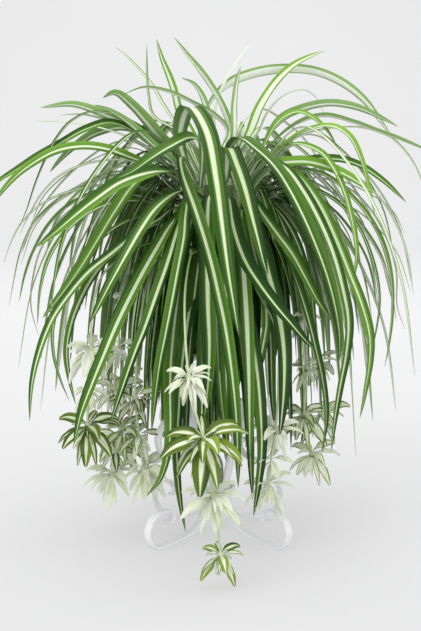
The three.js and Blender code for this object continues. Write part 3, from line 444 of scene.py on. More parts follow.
# For each spray its leaves, each as [width, face, *points], a point being [across, height, depth] as
# seen from the eye on the plane y = 0
SHOWN_LEAVES = {
  # broad leaves over the front
  "front_left": [
    [26, 0, [-50, 540, -18], [-50, 575, -34], [-37, 598, -68], [-15, 562, -112], [-3, 500, -146],
      [5, 440, -168], [13, 380, -182], [22, 325, -190], [29, 283, -194]],
    [19, 0, [-50, 530, -32], [-49, 508, -62], [-33, 462, -100], [-19, 418, -124], [-8, 378, -140],
      [0, 342, -151], [8, 305, -160], [15, 262, -167], [21, 215, -172], [26, 160, -176], [28, 110, -178],
      [29, 62, -179]],
    [24, 0.35, [-22, 545, -40], [-38, 557, -72], [-64, 546, -96], [-92, 529, -112], [-118, 511, -122],
      [-141, 501, -126]],
    [22, 0.6, [-44, 505, -30], [-72, 511, -46], [-101, 508, -62], [-135, 496, -80], [-165, 476, -94],
      [-195, 453, -105], [-225, 428, -113], [-252, 407, -118]],
    [22, 0.35, [-42, 484, -40], [-61, 480, -62], [-86, 460, -84], [-105, 434, -98], [-124, 402, -110],
      [-140, 374, -119], [-155, 347, -126], [-168, 322, -131], [-180, 300, -135]],
    [24, 0.3, [-40, 462, -38], [-62, 442, -66], [-85, 405, -90], [-105, 370, -105], [-125, 332, -117],
      [-143, 295, -127], [-160, 255, -135], [-178, 212, -142], [-194, 170, -147], [-205, 124, -150]],
    [19, 0.15, [-43, 470, -50], [-56, 432, -78], [-70, 385, -100], [-86, 340, -116], [-102, 295, -129],
      [-118, 255, -138], [-134, 210, -145], [-146, 175, -149], [-153, 155, -151]],
  ],
  "front": [
    [19, 0, [-36, 482, -52], [-44, 455, -78], [-47, 420, -98], [-55, 378, -114], [-64, 330, -128],
      [-73, 285, -138], [-82, 240, -145], [-89, 190, -150], [-94, 145, -152]],
    [23, 0, [-24, 470, -58], [-41, 425, -86], [-51, 375, -106], [-57, 328, -119], [-62, 285, -128],
      [-66, 240, -134], [-67, 195, -138], [-67, 150, -141], [-71, 110, -143], [-82, 75, -145],
      [-102, 50, -147]],
    [16, 0, [-16, 450, -50], [-26, 400, -74], [-36, 345, -92], [-44, 290, -106], [-51, 235, -116],
      [-55, 180, -123], [-58, 125, -128], [-57, 80, -130], [-53, 38, -131], [-46, -3, -132]],
    [23, 0, [-11, 478, -60], [-15, 440, -84], [-15, 385, -106], [-14, 325, -122], [-12, 268, -133],
      [-14, 212, -141], [-20, 160, -146]],
    [12, 0, [-8, 455, -48], [-24, 425, -70], [-20, 375, -90], [-15, 332, -102], [-19, 300, -108]],
    [24, 0, [11, 505, -52], [15, 542, -74], [26, 519, -100], [37, 487, -118], [46, 452, -130],
      [55, 418, -139], [62, 390, -144], [69, 368, -146]],
    [26, 0.2, [14, 474, -62], [19, 442, -88], [28, 410, -106], [40, 382, -120], [58, 354, -132],
      [80, 325, -142], [103, 298, -150], [122, 276, -156], [138, 261, -160]],
    [18, 0, [3, 460, -54], [2, 405, -80], [-1, 350, -98], [-1, 295, -112], [1, 240, -122], [5, 190, -129],
      [11, 145, -134], [17, 112, -137]],
    [19, 0, [17, 455, -46], [26, 400, -66], [36, 340, -84], [46, 285, -98], [55, 230, -109],
      [60, 175, -117], [62, 120, -122], [58, 72, -125], [51, 20, -127]],
    [17, 0, [12, 440, -46], [18, 380, -66], [27, 315, -84], [35, 250, -96], [41, 190, -104],
      [45, 130, -109], [47, 85, -112], [50, 44, -114]],
  ],
  "front_right": [
    [25, 0.15, [14, 532, -34], [28, 556, -56], [50, 543, -80], [76, 519, -100], [97, 488, -115],
      [118, 448, -128], [137, 405, -138], [152, 365, -145], [163, 325, -150], [170, 285, -153],
      [171, 247, -155]],
    [18, 0.15, [58, 528, -50], [90, 518, -74], [115, 487, -90], [138, 447, -103], [158, 402, -114],
      [172, 355, -122], [182, 305, -128], [180, 258, -131], [172, 210, -133], [165, 160, -135],
      [161, 115, -136]],
    [22, 0.3, [46, 474, -40], [62, 452, -58], [82, 425, -76], [103, 397, -90], [121, 365, -101],
      [139, 332, -109], [159, 303, -116]],
    [24, 0, [42, 462, -48], [56, 420, -68], [70, 368, -88], [84, 315, -102], [92, 262, -112],
      [93, 210, -118], [90, 165, -122], [87, 136, -124]],
    [13, 0, [37, 450, -46], [50, 400, -64], [62, 350, -80], [68, 305, -90], [62, 262, -98],
      [54, 225, -103], [53, 182, -106], [57, 140, -108]],
    [16, 0, [40, 445, -36], [54, 390, -52], [66, 335, -66], [73, 282, -76], [75, 235, -83],
      [77, 190, -88], [83, 138, -91]],
    [17, 0.1, [50, 470, -30], [78, 430, -48], [103, 375, -64], [122, 320, -76], [136, 268, -85],
      [148, 215, -92], [153, 165, -96], [148, 114, -98]],
  ],
  # arcs to the left, mostly seen edge-on
  "left": [
    [16, 0.55, [-64, 530, 2], [-100, 556, -6], [-130, 577, -13], [-165, 592, -19], [-200, 602, -24],
      [-243, 598, -29]],
    [9, 0.3, [-68, 536, 16], [-110, 562, 13], [-150, 579, 10], [-185, 588, 7], [-216, 588, 5]],
    [8, 0.25, [-70, 526, 26], [-120, 556, 24], [-165, 571, 22], [-205, 578, 20], [-247, 580, 18]],
    [10, 0.2, [-66, 542, -12], [-120, 580, -21], [-168, 592, -28], [-200, 580, -33], [-222, 555, -37],
      [-238, 526, -40], [-252, 494, -43], [-264, 460, -45], [-275, 437, -47]],
    [16, 0.4, [-66, 522, -8], [-108, 560, -16], [-146, 577, -23], [-182, 568, -29], [-212, 552, -34],
      [-245, 534, -39], [-275, 515, -43], [-305, 496, -47], [-334, 470, -50]],
    [17, 0.5, [-66, 508, -14], [-118, 529, -32], [-155, 542, -40], [-190, 545, -47], [-225, 538, -53],
      [-258, 520, -58], [-285, 498, -62], [-316, 462, -66]],
    [18, 0.5, [-72, 546, 34], [-125, 570, 32], [-165, 564, 29], [-195, 546, 27], [-216, 528, 25],
      [-232, 510, 23]],
    [9, 0.2, [-64, 488, -8], [-92, 514, -14], [-125, 526, -20], [-162, 525, -26], [-196, 516, -31],
      [-222, 502, -35], [-243, 481, -38], [-258, 457, -40], [-276, 424, -42]],
    [9, 0.2, [-64, 474, 6], [-92, 486, 2], [-130, 493, -3], [-175, 490, -9], [-215, 480, -14],
      [-248, 463, -18], [-272, 440, -21], [-288, 412, -24], [-298, 386, -26]],
    [13, 0.3, [-60, 470, 18], [-95, 485, 14], [-150, 488, 8], [-200, 468, 3], [-232, 440, -1],
      [-254, 405, -4], [-268, 370, -6], [-278, 331, -8]],
    [23, 0.45, [-56, 500, -26], [-84, 510, -34], [-115, 494, -42], [-140, 460, -50], [-165, 420, -57],
      [-190, 380, -64], [-215, 345, -70], [-246, 307, -76]],
    [16, 0.4, [-56, 462, -20], [-82, 445, -38], [-115, 424, -54], [-150, 396, -68], [-180, 372, -79],
      [-208, 340, -88], [-232, 305, -95], [-250, 262, -100], [-262, 215, -103], [-267, 160, -105]],
    [8, 0.2, [-58, 458, 24], [-110, 478, 20], [-170, 475, 14], [-215, 448, 9], [-245, 405, 5],
      [-258, 360, 3], [-261, 322, 1], [-252, 283, 0]],
    [14, 0.3, [-54, 456, 2], [-100, 470, -6], [-155, 465, -14], [-200, 438, -21], [-232, 396, -27],
      [-247, 350, -31], [-253, 298, -34]],
    [12, 0.3, [-52, 448, -4], [-90, 452, -14], [-140, 435, -26], [-185, 395, -36], [-215, 345, -44],
      [-230, 298, -49], [-230, 255, -52], [-221, 218, -54], [-210, 189, -55]],
    [16, 0.35, [-50, 440, -10], [-85, 438, -24], [-130, 412, -40], [-172, 368, -53], [-200, 315, -63],
      [-212, 265, -69], [-209, 222, -72], [-201, 183, -74]],
    [24, 0.45, [-54, 530, 0], [-80, 556, -4], [-100, 580, -8], [-120, 602, -11], [-140, 617, -14],
      [-158, 611, -16]],
    [16, 0.4, [-58, 520, -14], [-90, 548, -24], [-120, 575, -31], [-145, 592, -36], [-169, 602, -39]],
  ],
  # leaves that rise from the crown
  "crown": [
    [12, 0.2, [-50, 560, 8], [-88, 585, 8], [-96, 615, 8], [-98, 648, 8], [-97, 682, 8]],
    [10, 0.3, [-38, 552, 16], [-58, 575, 18], [-76, 602, 20], [-92, 630, 21], [-120, 662, 22],
      [-140, 680, 22]],
    [17, 0.3, [-34, 556, 26], [-53, 590, 32], [-60, 615, 36], [-68, 640, 39], [-78, 666, 42],
      [-84, 690, 44]],
    [12, 0.3, [2, 540, -6], [11, 568, -10], [-8, 589, -16], [-35, 604, -21], [-65, 618, -25],
      [-100, 625, -28], [-129, 616, -30]],
    [14, 0.35, [-6, 548, 0], [-14, 585, -4], [-22, 612, -8], [-34, 630, -11], [-50, 638, -13]],
    [17, 0.4, [20, 548, 14], [12, 580, 13], [-2, 612, 12], [-20, 640, 11], [-42, 668, 10], [-60, 692, 9]],
    [14, 0.3, [22, 556, -2], [23, 600, -5], [26, 632, -7], [31, 654, -8]],
    [7, 0.2, [-4, 560, 24], [-4, 596, 28], [10, 634, 32], [28, 664, 35], [44, 684, 37]],
    [18, 0.45, [40, 556, 12], [58, 598, 16], [78, 630, 20], [100, 652, 23], [122, 665, 25], [144, 674, 26]],
    [8, 0.1, [50, 556, 14], [68, 591, 20], [90, 614, 26], [115, 622, 31], [133, 612, 34], [142, 596, 36],
      [147, 581, 37]],
    [19, 0.5, [-8, 560, 36], [-12, 598, 40], [14, 628, 42], [50, 643, 43], [90, 649, 43], [130, 646, 42],
      [168, 631, 41], [200, 607, 40], [224, 577, 39], [238, 559, 38]],
  ],
  # arcs to the right
  "right": [
    [16, 0.5, [62, 545, 6], [85, 580, 5], [115, 596, 4], [150, 603, 2], [185, 599, 0], [215, 588, -2],
      [247, 572, -4]],
    [12, 0.4, [60, 540, -6], [82, 578, -10], [108, 592, -13], [130, 584, -16], [148, 568, -18],
      [164, 545, -20]],
    [13, 0.35, [68, 542, 16], [105, 574, 18], [145, 587, 19], [185, 578, 19], [215, 567, 18],
      [245, 557, 17], [275, 545, 16], [310, 530, 15]],
    [9, 0.2, [74, 534, 26], [115, 560, 29], [160, 570, 31], [200, 570, 32], [235, 558, 33],
      [262, 532, 33], [278, 504, 33], [290, 470, 33]],
    [18, 0.25, [70, 528, -14], [110, 561, -22], [150, 573, -29], [178, 560, -35], [195, 530, -39],
      [205, 498, -42], [212, 470, -44], [217, 451, -45]],
    [19, 0.5, [72, 516, -30], [108, 524, -42], [142, 520, -51], [178, 505, -58], [205, 488, -62],
      [218, 481, -64]],
    [16, 0.45, [72, 502, -8], [120, 525, -14], [160, 528, -19], [195, 519, -23], [225, 500, -26],
      [248, 480, -29], [260, 469, -30]],
    [19, 0.25, [66, 508, -46], [90, 515, -58], [112, 503, -68], [140, 465, -80], [162, 420, -90],
      [182, 372, -98], [200, 328, -104], [212, 285, -108], [213, 245, -110], [207, 200, -112],
      [201, 163, -113]],
    [13, 0.3, [66, 524, -24], [102, 548, -40], [138, 539, -52], [160, 513, -60], [175, 480, -66],
      [186, 440, -71], [192, 400, -74], [189, 368, -76], [184, 340, -77]],
    [16, 0.25, [70, 492, 0], [100, 512, -4], [142, 508, -9], [180, 480, -14], [210, 445, -18],
      [230, 405, -21], [241, 360, -24], [243, 315, -26], [240, 275, -27], [235, 238, -28]],
    [9, 0.2, [68, 484, 18], [100, 506, 17], [150, 516, 15], [195, 500, 12], [228, 468, 9], [250, 430, 7],
      [264, 392, 5], [273, 338, 3]],
    [9, 0.2, [66, 478, 8], [96, 494, 6], [140, 502, 3], [182, 486, 0], [213, 455, -3], [236, 413, -5],
      [248, 370, -7], [250, 325, -9], [262, 292, -10]],
    [10, 0.25, [62, 468, -14], [92, 484, -20], [132, 486, -26], [168, 466, -31], [198, 428, -36],
      [217, 380, -40], [225, 335, -43], [222, 295, -45], [214, 252, -47]],
  ],
}

# For each spray how many leaves, their middle direction in degrees, the spread to either side, and
# their least width and its spread
HIDDEN_LEAVES = [
  ("back_left", 16, 122, 44, (11, 9)),
  ("back_right", 16, 58, 44, (11, 9)),
  ("left", 7, 174, 44, (7, 7)),
  ("right", 7, 4, 44, (7, 7)),
  ("crown", 5, 90, 150, (9, 8)),
  ("front_left", 4, 218, 30, (10, 8)),
  ("front", 4, 268, 34, (12, 8)),
  ("front_right", 4, 318, 30, (10, 8)),
]
# How far out a leaf is, and how much of its rise and of its fall it has had, at each of its points
HIDDEN_ARC = [(0.14, 0.6, 0), (0.38, 1, 0), (0.68, 1, 0.22), (0.9, 1, 0.58), (1, 1, 1)]
# The least value and spread of the reach, rise and length of short inner and long outer leaves
INNER = [(70, 40), (-10, 30), (0.9, 0)]
OUTER = [(165, 125), (25, 110), (0.35, 0.65)]
TURN_SPREAD = 3
SWAY_SPREAD = 24
FALL_SHARE = 0.82
HIDDEN_STEP = 40
HIDDEN_START = 200
ROOT_SPAN = 74
ROOT_OFFSET = 3.2
ROOT_BELOW_HEAD = 3
# The slopes of a leaf's first stretch at which it is rooted lowest and highest
LOWEST_AT, HIGHEST_AT = -0.6, 1.5
FLOOR_CLEARANCE = 22
STRAP_MAKE = (60, 1.1, 0.3, 0.05)
POT_BOTTOM = 263.4
SOIL_TOP = POT_BOTTOM + 106
ROOT_DEPTH = 42
STEM_RADIUS = 4.2
HEAD_RADIUS = 6.5
# How far below the roots a stem starts to swell to its head, and has swollen
SWELL_FROM, SWELL_TO = 44, 6


def seen(point):
    """A point of the front view, brought from the plane y = 0 along the line of sight to its depth."""
    across, height, depth = point
    share = (depth - EYE[1]) / -EYE[1]
    return np.array([EYE[0] + (across - EYE[0]) * share, depth, EYE[2] + (height - EYE[2]) * share])


def root_of(spray, towards):
    """Where a leaf joins its stem: the steeper its first stretch, the higher."""
    x, y, head = SPRAYS[spray]
    out, across = towards[0] - x, towards[1] - y
    flat = hypot(out, across)
    slope = atan2(towards[2] - (head - ROOT_SPAN / 2), flat)
    height = head - ROOT_SPAN * (1 - smooth(LOWEST_AT, HIGHEST_AT, slope)) - ROOT_BELOW_HEAD
    return np.array([x + out / flat * ROOT_OFFSET, y + across / flat * ROOT_OFFSET, height])


def shown_leaves():
    for spray, leaves in SHOWN_LEAVES.items():
        for width, face, *points in leaves:
            places = [seen(point) for point in points]
            yield spray, width, face, [root_of(spray, places[0]), *places]


def drooping(spray, turn, reach, rise, long, sway):
    """The points of a leaf that leaves its stem at an angle, rises and then falls for a share long."""
    x, y, head = SPRAYS[spray]
    base = head - ROOT_SPAN / 2
    fall = (base + rise - FLOOR_CLEARANCE) * FALL_SHARE * long
    places = [
        np.array([x + reach * out * cos(turn) - sway * out * out * sin(turn),
                  y + reach * out * sin(turn) + sway * out * out * cos(turn),
                  base + rise * up - fall * down])
        for out, up, down in HIDDEN_ARC
    ]
    return [root_of(spray, places[0]), *places]


def drawn(values, item, choice):
    """A fixed draw for an item from a least value and a spread."""
    least, spread = values
    return least + spread * draw(item, choice)


def hidden_leaves():
    """Leaves fanned evenly about each spray's middle direction, and all else about them drawn."""
    for group, (spray, count, middle, spread, widths) in enumerate(HIDDEN_LEAVES):
        kind = INNER if spray.startswith("front") else OUTER
        for number in range(count):
            item = HIDDEN_START + group * HIDDEN_STEP + number
            even = (number + 0.5) / count * 2 - 1
            turn = radians(middle + spread * even + TURN_SPREAD * (draw(item, 1) - 0.5))
            reach, rise, long = (drawn(values, item, 2 + k) for k, values in enumerate(kind))
            sway = SWAY_SPREAD * (draw(item, 6) - 0.5)
            yield spray, drawn(widths, item, 7), 0, drooping(spray, turn, reach, rise, long, sway)


# Leaves too many to tell apart, between the others: each group's spray, number, middle direction and
# spread in degrees, and the least value and spread of its reach, rise, length and width
BETWEEN = [
  ("front", 12, 270, 52, (46, 62), (-26, 40), (0.45, 0.5), (9, 8)),
  ("front_left", 10, 222, 44, (60, 80), (-20, 50), (0.4, 0.5), (9, 8)),
  ("front_left", 7, 202, 26, (100, 50), (0, 60), (0.6, 0.3), (9, 6)),
  ("front_right", 10, 316, 44, (60, 70), (-20, 50), (0.4, 0.5), (9, 8)),
  ("left", 9, 184, 44, (90, 90), (-10, 70), (0.35, 0.4), (7, 7)),
  ("left", 12, 186, 34, (205, 75), (40, 80), (0.2, 0.42), (5, 5)),
  ("right", 9, 352, 44, (90, 90), (-10, 70), (0.35, 0.4), (7, 7)),
  ("right", 12, 352, 34, (195, 70), (40, 80), (0.2, 0.42), (5, 5)),
  ("left", 18, 172, 46, (110, 90), (0, 70), (0.4, 0.45), (10, 7)),
  ("right", 20, 8, 46, (100, 90), (0, 70), (0.4, 0.5), (10, 7)),
  ("left", 12, 160, 28, (140, 90), (0, 80), (0.5, 0.42), (9, 6)),
  ("right", 8, 20, 28, (140, 90), (0, 80), (0.45, 0.45), (9, 6)),
  ("back_left", 14, 140, 60, (110, 110), (10, 90), (0.3, 0.6), (9, 7)),
  ("back_right", 16, 40, 60, (110, 100), (10, 90), (0.3, 0.6), (9, 7)),
  ("crown", 12, 90, 170, (70, 90), (70, 60), (0.1, 0.25), (7, 6)),
]
BETWEEN_START = 3000
BETWEEN_STEP = 60
BETWEEN_MAKE = (44, 1.1, 0.3, 0.05)
BETWEEN_FACE = 0.3
BETWEEN_SWAY = (-25, 50)
# A leaf between is tried in some ways, each turned by a draw and nearer to the pot and lower by a step,
# and is left out where the best of them is in front of the shown leaves at too many of its stations. The
# stations lie from a share of the leaf's length on.
WAYS = 5
WAY_TURN = (-6, 12)
WAY_NEARER = 0.11
WAY_LOWER = 6
SIGHT_STATIONS = 40
MOST_IN_FRONT = 6
SIGHT_FROM_SHOWN = 0.1
SIGHT_FROM_BETWEEN = 0.15


def in_sight(controls, start):
    """Where a leaf's stations from start on are seen, on the plane y = 0, and their depth."""
    points = curve_points(np.array(controls), np.linspace(start, 1, SIGHT_STATIONS))
    share = -EYE[1] / (points[:, 1] - EYE[1])
    return EYE[[0, 2]] + (points[:, [0, 2]] - EYE[[0, 2]]) * share[:, None], points[:, 1]


shown_spots, shown_depths, shown_halves = (np.concatenate(part) for part in zip(*(
    (*in_sight(controls, SIGHT_FROM_SHOWN), np.full(SIGHT_STATIONS, width / 2))
    for spray, width, face, controls in shown_leaves())))


def count_in_front(controls):
    """At how many of its stations a leaf would hide a shown one."""
    spots, depths = in_sight(controls, SIGHT_FROM_BETWEEN)
    apart = np.linalg.norm(spots[:, None] - shown_spots, axis=2)
    hides = (apart < shown_halves) & (depths[:, None] < shown_depths)
    return np.count_nonzero(hides.any(axis=1))


def leaves_between():
    """Leaves fanned about a middle direction, and each taken in the way that hides the shown ones least."""
    for group, (spray, count, middle, spread, reaches, rises, lengths, widths) in enumerate(BETWEEN):
        for number in range(count):
            item = BETWEEN_START + group * BETWEEN_STEP + number
            turn = middle + spread * ((number + draw(item, 1)) / count * 2 - 1)
            reach, rise, long = drawn(reaches, item, 2), drawn(rises, item, 3), drawn(lengths, item, 4)
            sway = drawn(BETWEEN_SWAY, item, 6)
            ways = [drooping(spray, radians(turn + drawn(WAY_TURN, item, 9 + nearer)),
                             reach * (1 - WAY_NEARER * nearer), rise - WAY_LOWER * nearer, long, sway)
                    for nearer in range(WAYS)]
            way = min(ways, key=count_in_front)
            if count_in_front(way) <= MOST_IN_FRONT:
                yield spray, drawn(widths, item, 7), BETWEEN_FACE * draw(item, 8), way


TIP_REACH = 0.05


def node_points(node):
    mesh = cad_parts[node].data
    points = np.empty(len(mesh.vertices) * 3)
    mesh.vertices.foreach_get("co", points)
    return points.reshape(-1, 3) / MM - AXIS


def has_tip(points, tip):
    """Whether a CAD node's points hold a leaf's tip, so that the leaf is in the node."""
    return np.min(np.linalg.norm(points - tip, axis=1)) < TIP_REACH


# How light a green each spray's leaves start from, painted light and shade that stand in for how light
# falls:
# lightest on the crown and at the back, darkest at the front. A leaf has its own lightness by a draw, is
# painted lighter where it arches high and isn't in front, and painted darker, as shade, between the others.
# The sprays painted lightest and narrow leaves are paler.
SPRAY_LIGHT_AND_SHADE = {"crown": 0.62, "front": -0.05, "front_left": 0.0, "front_right": -0.05, "left": 0.2,
             "right": 0.25, "back_left": 0.6, "back_right": 0.6}
TONE_SPREAD = 0.6
BETWEEN_PAINTED_SHADE = 0.12
ARCH_PAINTED_LIGHT = 0.28
ARCH_FROM, ARCH_TO = 470, 580
PALE_SPREAD = 0.2
NARROW = 10
NARROW_PALE = (0.4, 0.4)
LIGHT_SPRAY = 0.5
LIGHT_PALE = 3

spray_skins = {spray: Skin() for spray in SPRAYS}
spray_points = {spray: node_points("spray_" + spray) for spray in SPRAYS}
solid_leaves = [leaf for leaf in [*shown_leaves(), *hidden_leaves()]
                if has_tip(spray_points[leaf[0]], leaf[3][-1])]
for order, (spray, width, face, controls) in enumerate([*solid_leaves, *leaves_between()]):
    between = order >= len(solid_leaves)
    # Painted light and shade: a leaf's lightness is its own draw plus its spray's, its arch's and its place
    # between the others
    tone_and_painted_light = SPRAY_LIGHT_AND_SHADE[spray] + TONE_SPREAD * draw(order, 31) - BETWEEN_PAINTED_SHADE * between
    if not spray.startswith("front"):
        tone_and_painted_light += ARCH_PAINTED_LIGHT * smooth(ARCH_FROM, ARCH_TO, max(point[2] for point in controls))
    pale = PALE_SPREAD * draw(order, 32) ** 2 * (not between)
    pale += drawn(NARROW_PALE, order, 34) * (width < NARROW)
    pale += LIGHT_PALE * max(SPRAY_LIGHT_AND_SHADE[spray] - LIGHT_SPRAY, 0)
    make = BETWEEN_MAKE if between else STRAP_MAKE
    add_blade(spray_skins[spray], controls, face, strap_width(width), make,
              np.clip(tone_and_painted_light, 0, 1), pale, draw(order, 33))
for spray, skin in spray_skins.items():
    skin.piece("leaves_" + spray, STRAP, "leaf", "spray_" + spray)
    x, y, head = SPRAYS[spray]
    heights = [SOIL_TOP - ROOT_DEPTH, head - ROOT_SPAN - SWELL_FROM, head - ROOT_SPAN - SWELL_TO, head]
    levels = np.linspace(heights[0], heights[-1], 40)
    radii = np.interp(levels, heights, [STEM_RADIUS, STEM_RADIUS, HEAD_RADIUS, HEAD_RADIUS * 0.7])
    stem = Skin()
    add_tube(stem, together(x, y, levels), radii, 20, (0.9, 0, 0.2))
    stem.piece("stem_" + spray, STEM, "leaf", "spray_" + spray)


# Runners
# Each is a thin pale stolon that stands in the soil, bows out under the leaves and hangs, with rosettes
# of small lance leaves grown on it, of which the lower ones droop.

# Each as its rise out of the soil, in [x, y, z], and how it hangs, in [across, height, depth] as seen,
# with the length and number of leaves where there is a plantlet
FRONT_RUNNERS = [
  ([[-14, -42, 395], [-31, -54, 410], [-39, -71, 413], [-29, -99, 409]],
    [[-38, 394, -132], [-46, 345, -164], [-46, 285, -190], [-41, 222, -208, 32, 7],
      [-31, 170, -220], [-20, 133, -228, 56, 10], [-13, 88, -233], [-7, 50, -236, 40, 8],
      [0, 4, -239], [4, -38, -241, 31, 6]]),
  ([[-36, -25, 392], [-60, -34, 415], [-105, -44, 412]],
    [[-158, 372, -58], [-176, 318, -76], [-178, 264, -86, 34, 6], [-184, 205, -94],
      [-185, 152, -99, 41, 8]]),
  ([[-43, -8, 390], [-70, -12, 405], [-106, -20, 396]],
    [[-134, 340, -32], [-140, 264, -46, 30, 5], [-146, 206, -58, 36, 6],
      [-134, 148, -68, 38, 7], [-146, 116, -74], [-152, 84, -78, 39, 8]]),
  ([[-27, -34, 390], [-52, -52, 404], [-86, -64, 388]],
    [[-108, 310, -70], [-114, 250, -74], [-117, 192, -77, 34, 6], [-112, 140, -80],
      [-106, 90, -82, 39, 8]]),
  ([[24, -37, 390], [40, -58, 394], [43, -76, 381], [48, -93, 362]],
    [[82, 290, -98], [85, 215, -106], [82, 146, -110, 34, 6], [76, 104, -112],
      [71, 66, -113, 36, 6]]),
  ([[40, -18, 391], [64, -26, 404], [96, -36, 390]],
    [[120, 310, -40], [125, 236, -42, 28, 5], [122, 168, -46, 39, 7], [134, 112, -52, 37, 7]]),
]
# The ones behind hang along [x, y, z] points
BACK_RUNNERS = [
  ([[43, 11, 391], [70, 20, 402], [112, 34, 380]],
    [[138, 42, 310], [146, 46, 238, 34, 5], [150, 48, 160, 42, 6]]),
  ([[4, 44, 391], [6, 78, 402], [8, 116, 384]],
    [[9, 142, 310], [10, 152, 225, 36, 5], [12, 156, 140, 44, 6]]),
  ([[-42, 15, 391], [-72, 26, 402], [-110, 42, 380]],
    [[-134, 52, 300], [-140, 56, 205, 36, 5], [-144, 58, 122, 42, 6]]),
]
# How bleached each runner's plantlets are, from 0, green, to 1 and over, cream
PALENESS = [
  [1.0, 0.05, 1.1, 0.15], [0.9, 0.1], [0.9, 0.5, 0.2, 0.95], [0.3, 0.9], [0.8, 0.85], [0.9, 0.35, 0.6],
  [0.6, 0.5], [0.6, 0.4], [0.7, 0.5],
]
LANCE_ARC = [(0, 0), (0.4, 0.03), (0.75, -0.03), (1, -0.18)]
LANCE_BREADTH = 0.36
LANCE_FACE = 0.6
LANCE_MAKE = (26, 0.9, 0.22, 0.06)
STOLON_DEPTH = 24
STOLON_RADIUS = 1.5
STOLON_TINT = (0.6, 0, 0.3)
PLANTLET_HUB = 4.5
LEAF_TRIES = 3
# The turn from leaf to leaf, in radians, and the lift of the first leaf and the last one's droop below it
PLANTLET_TURN = 2.4
PLANTLET_LIFT, PLANTLET_DROOP = 22, 98
INNER_BREADTH = 0.6
INNER_FACE = 0.5
INNER_MAKE = (20, 0.8, 0.3, 0.08)
HUB_PROFILE = np.array([0.5, 0.8, 0.95, 1, 1, 0.95, 0.85, 0.7, 0.45])
# Where the items for the draws start, and their step from runner to runner and plantlet to plantlet
PLANTLET_START = 1000
INNER_START = 6000
MORE_START = 9000
RUNNER_STEP = 200
PLANTLET_STEP = 40
# Leaves between and within the plantlets: by runner, the point they hang at, their length and number,
# how bleached they are, and their breadth as a share of the length
MORE_PLANTLETS = {
  1: [(3, 32, 14, 0.9, 0.15), (7, 42, 16, 1.0, 0.15)],
  2: [(2, 46, 9, 1.0, 0.33), (3, 30, 9, 0.8, 0.33)],
  3: [(0, 26, 8, 0.8, 0.33), (4, 32, 10, 0.3, 0.33)],
  4: [(3, 36, 11, 0.45, 0.33)],
  5: [(3, 30, 9, 0.7, 0.33)],
  6: [(0, 26, 9, 0.9, 0.33)],
}


def runner_routes():
    """Each runner's foot, its way from the soil on, its plantlets, and its points below the rise."""
    front = [(rise, hang, seen) for rise, hang in FRONT_RUNNERS]
    back = [(rise, hang, np.array) for rise, hang in BACK_RUNNERS]
    for rise, hang, place in front + back:
        x, y = rise[0][:2]
        foot = np.array([x, y, SOIL_TOP - STOLON_DEPTH])
        mouth = np.array([x, y, SOIL_TOP + 4])
        placed = [place(point[:3]) for point in hang]
        plantlets = [(centre, *point[3:]) for centre, point in zip(placed, hang) if len(point) > 3]
        yield foot, np.array([mouth, *map(np.array, rise), *placed]), plantlets, placed


def plantlet_leaf(centre, length, leaves, number, item):
    """The curve of one leaf of a plantlet, and its length: the higher its number, the lower it hangs."""
    turn = PLANTLET_TURN * number + 0.6 * draw(item, 1)
    order = (number % leaves) / leaves
    lift = radians(PLANTLET_LIFT - PLANTLET_DROOP * order + 14 * (draw(item, 2) - 0.5))
    long = length * (0.8 + 0.3 * draw(item, 3))
    out = np.array([cos(turn) * cos(lift), sin(turn) * cos(lift), sin(lift)])
    seat = centre + out * PLANTLET_HUB * 0.5 + [0, 0, PLANTLET_HUB * (0.8 - 1.6 * order)]
    return [seat + out * long * ahead + [0, 0, long * sag] for ahead, sag in LANCE_ARC], long


def add_inner_leaves(skin, centre, length, leaves, bleached, breadth, start):
    """Narrow leaves all round a plantlet's middle, every second one shorter and paler."""
    for number in range(leaves):
        item = start + number
        leaf, long = plantlet_leaf(centre, length * (0.95 - 0.25 * (number % 2)), leaves, number + 0.5, item)
        pale = np.clip(bleached + 0.35 * (number % 2) + 0.4 * (draw(item, 4) - 0.4), 0, 1)
        add_blade(skin, leaf, INNER_FACE, lance_width(long * breadth), INNER_MAKE,
                  draw(item, 5), pale, draw(item, 6))


for index, (foot, controls, plantlets, placed) in enumerate(runner_routes()):
    node = f"runner_{index + 1}"
    points = node_points(node)
    stolon = Skin()
    way = np.vstack([foot, curve_points(controls, np.linspace(0, 1, 120))])
    add_tube(stolon, way, np.full(len(way), STOLON_RADIUS), 10, STOLON_TINT)
    rosettes = Skin()
    for order, (centre, length, leaves) in enumerate(plantlets):
        hub = centre + np.outer(np.linspace(-1, 1, len(HUB_PROFILE)) * PLANTLET_HUB, [0, 0, 1])
        add_tube(stolon, hub, PLANTLET_HUB * HUB_PROFILE, 14, STOLON_TINT)
        offset = index * RUNNER_STEP + order * PLANTLET_STEP
        bleached = PALENESS[index][order]
        breadth = LANCE_BREADTH * (1.1 - 0.35 * bleached)
        for number in range(leaves * LEAF_TRIES):
            item = PLANTLET_START + offset + number
            leaf, long = plantlet_leaf(centre, length, leaves, number, item)
            if has_tip(points, leaf[-1]):
                pale = np.clip(bleached + 0.3 * (draw(item, 4) - 0.5), 0, 1)
                add_blade(rosettes, leaf, LANCE_FACE, lance_width(long * breadth), LANCE_MAKE,
                          draw(item, 5), pale, draw(item, 6))
        add_inner_leaves(rosettes, centre, length, leaves * 2, bleached, breadth * INNER_BREADTH,
                         INNER_START + offset)
    for order, (point, *plantlet) in enumerate(MORE_PLANTLETS.get(index + 1, [])):
        start = MORE_START + index * RUNNER_STEP + order * PLANTLET_STEP
        add_inner_leaves(rosettes, placed[point], *plantlet, start)
    stolon.piece(f"stolon_{index + 1}", STOLON, "plantlet", node)
    rosettes.piece(f"plantlets_{index + 1}", LANCE, "plantlet", node)


# Stand
# Four legs and four side scrolls of steel strip, bent flatwise in upright planes, held together by a
# collar at the waist and welded under a round tray. All of it is dipped in smooth white paint.

STRIP_WIDTH = 12
STRIP_THICKNESS = 3.6
STRIP_CORNER = 1.1
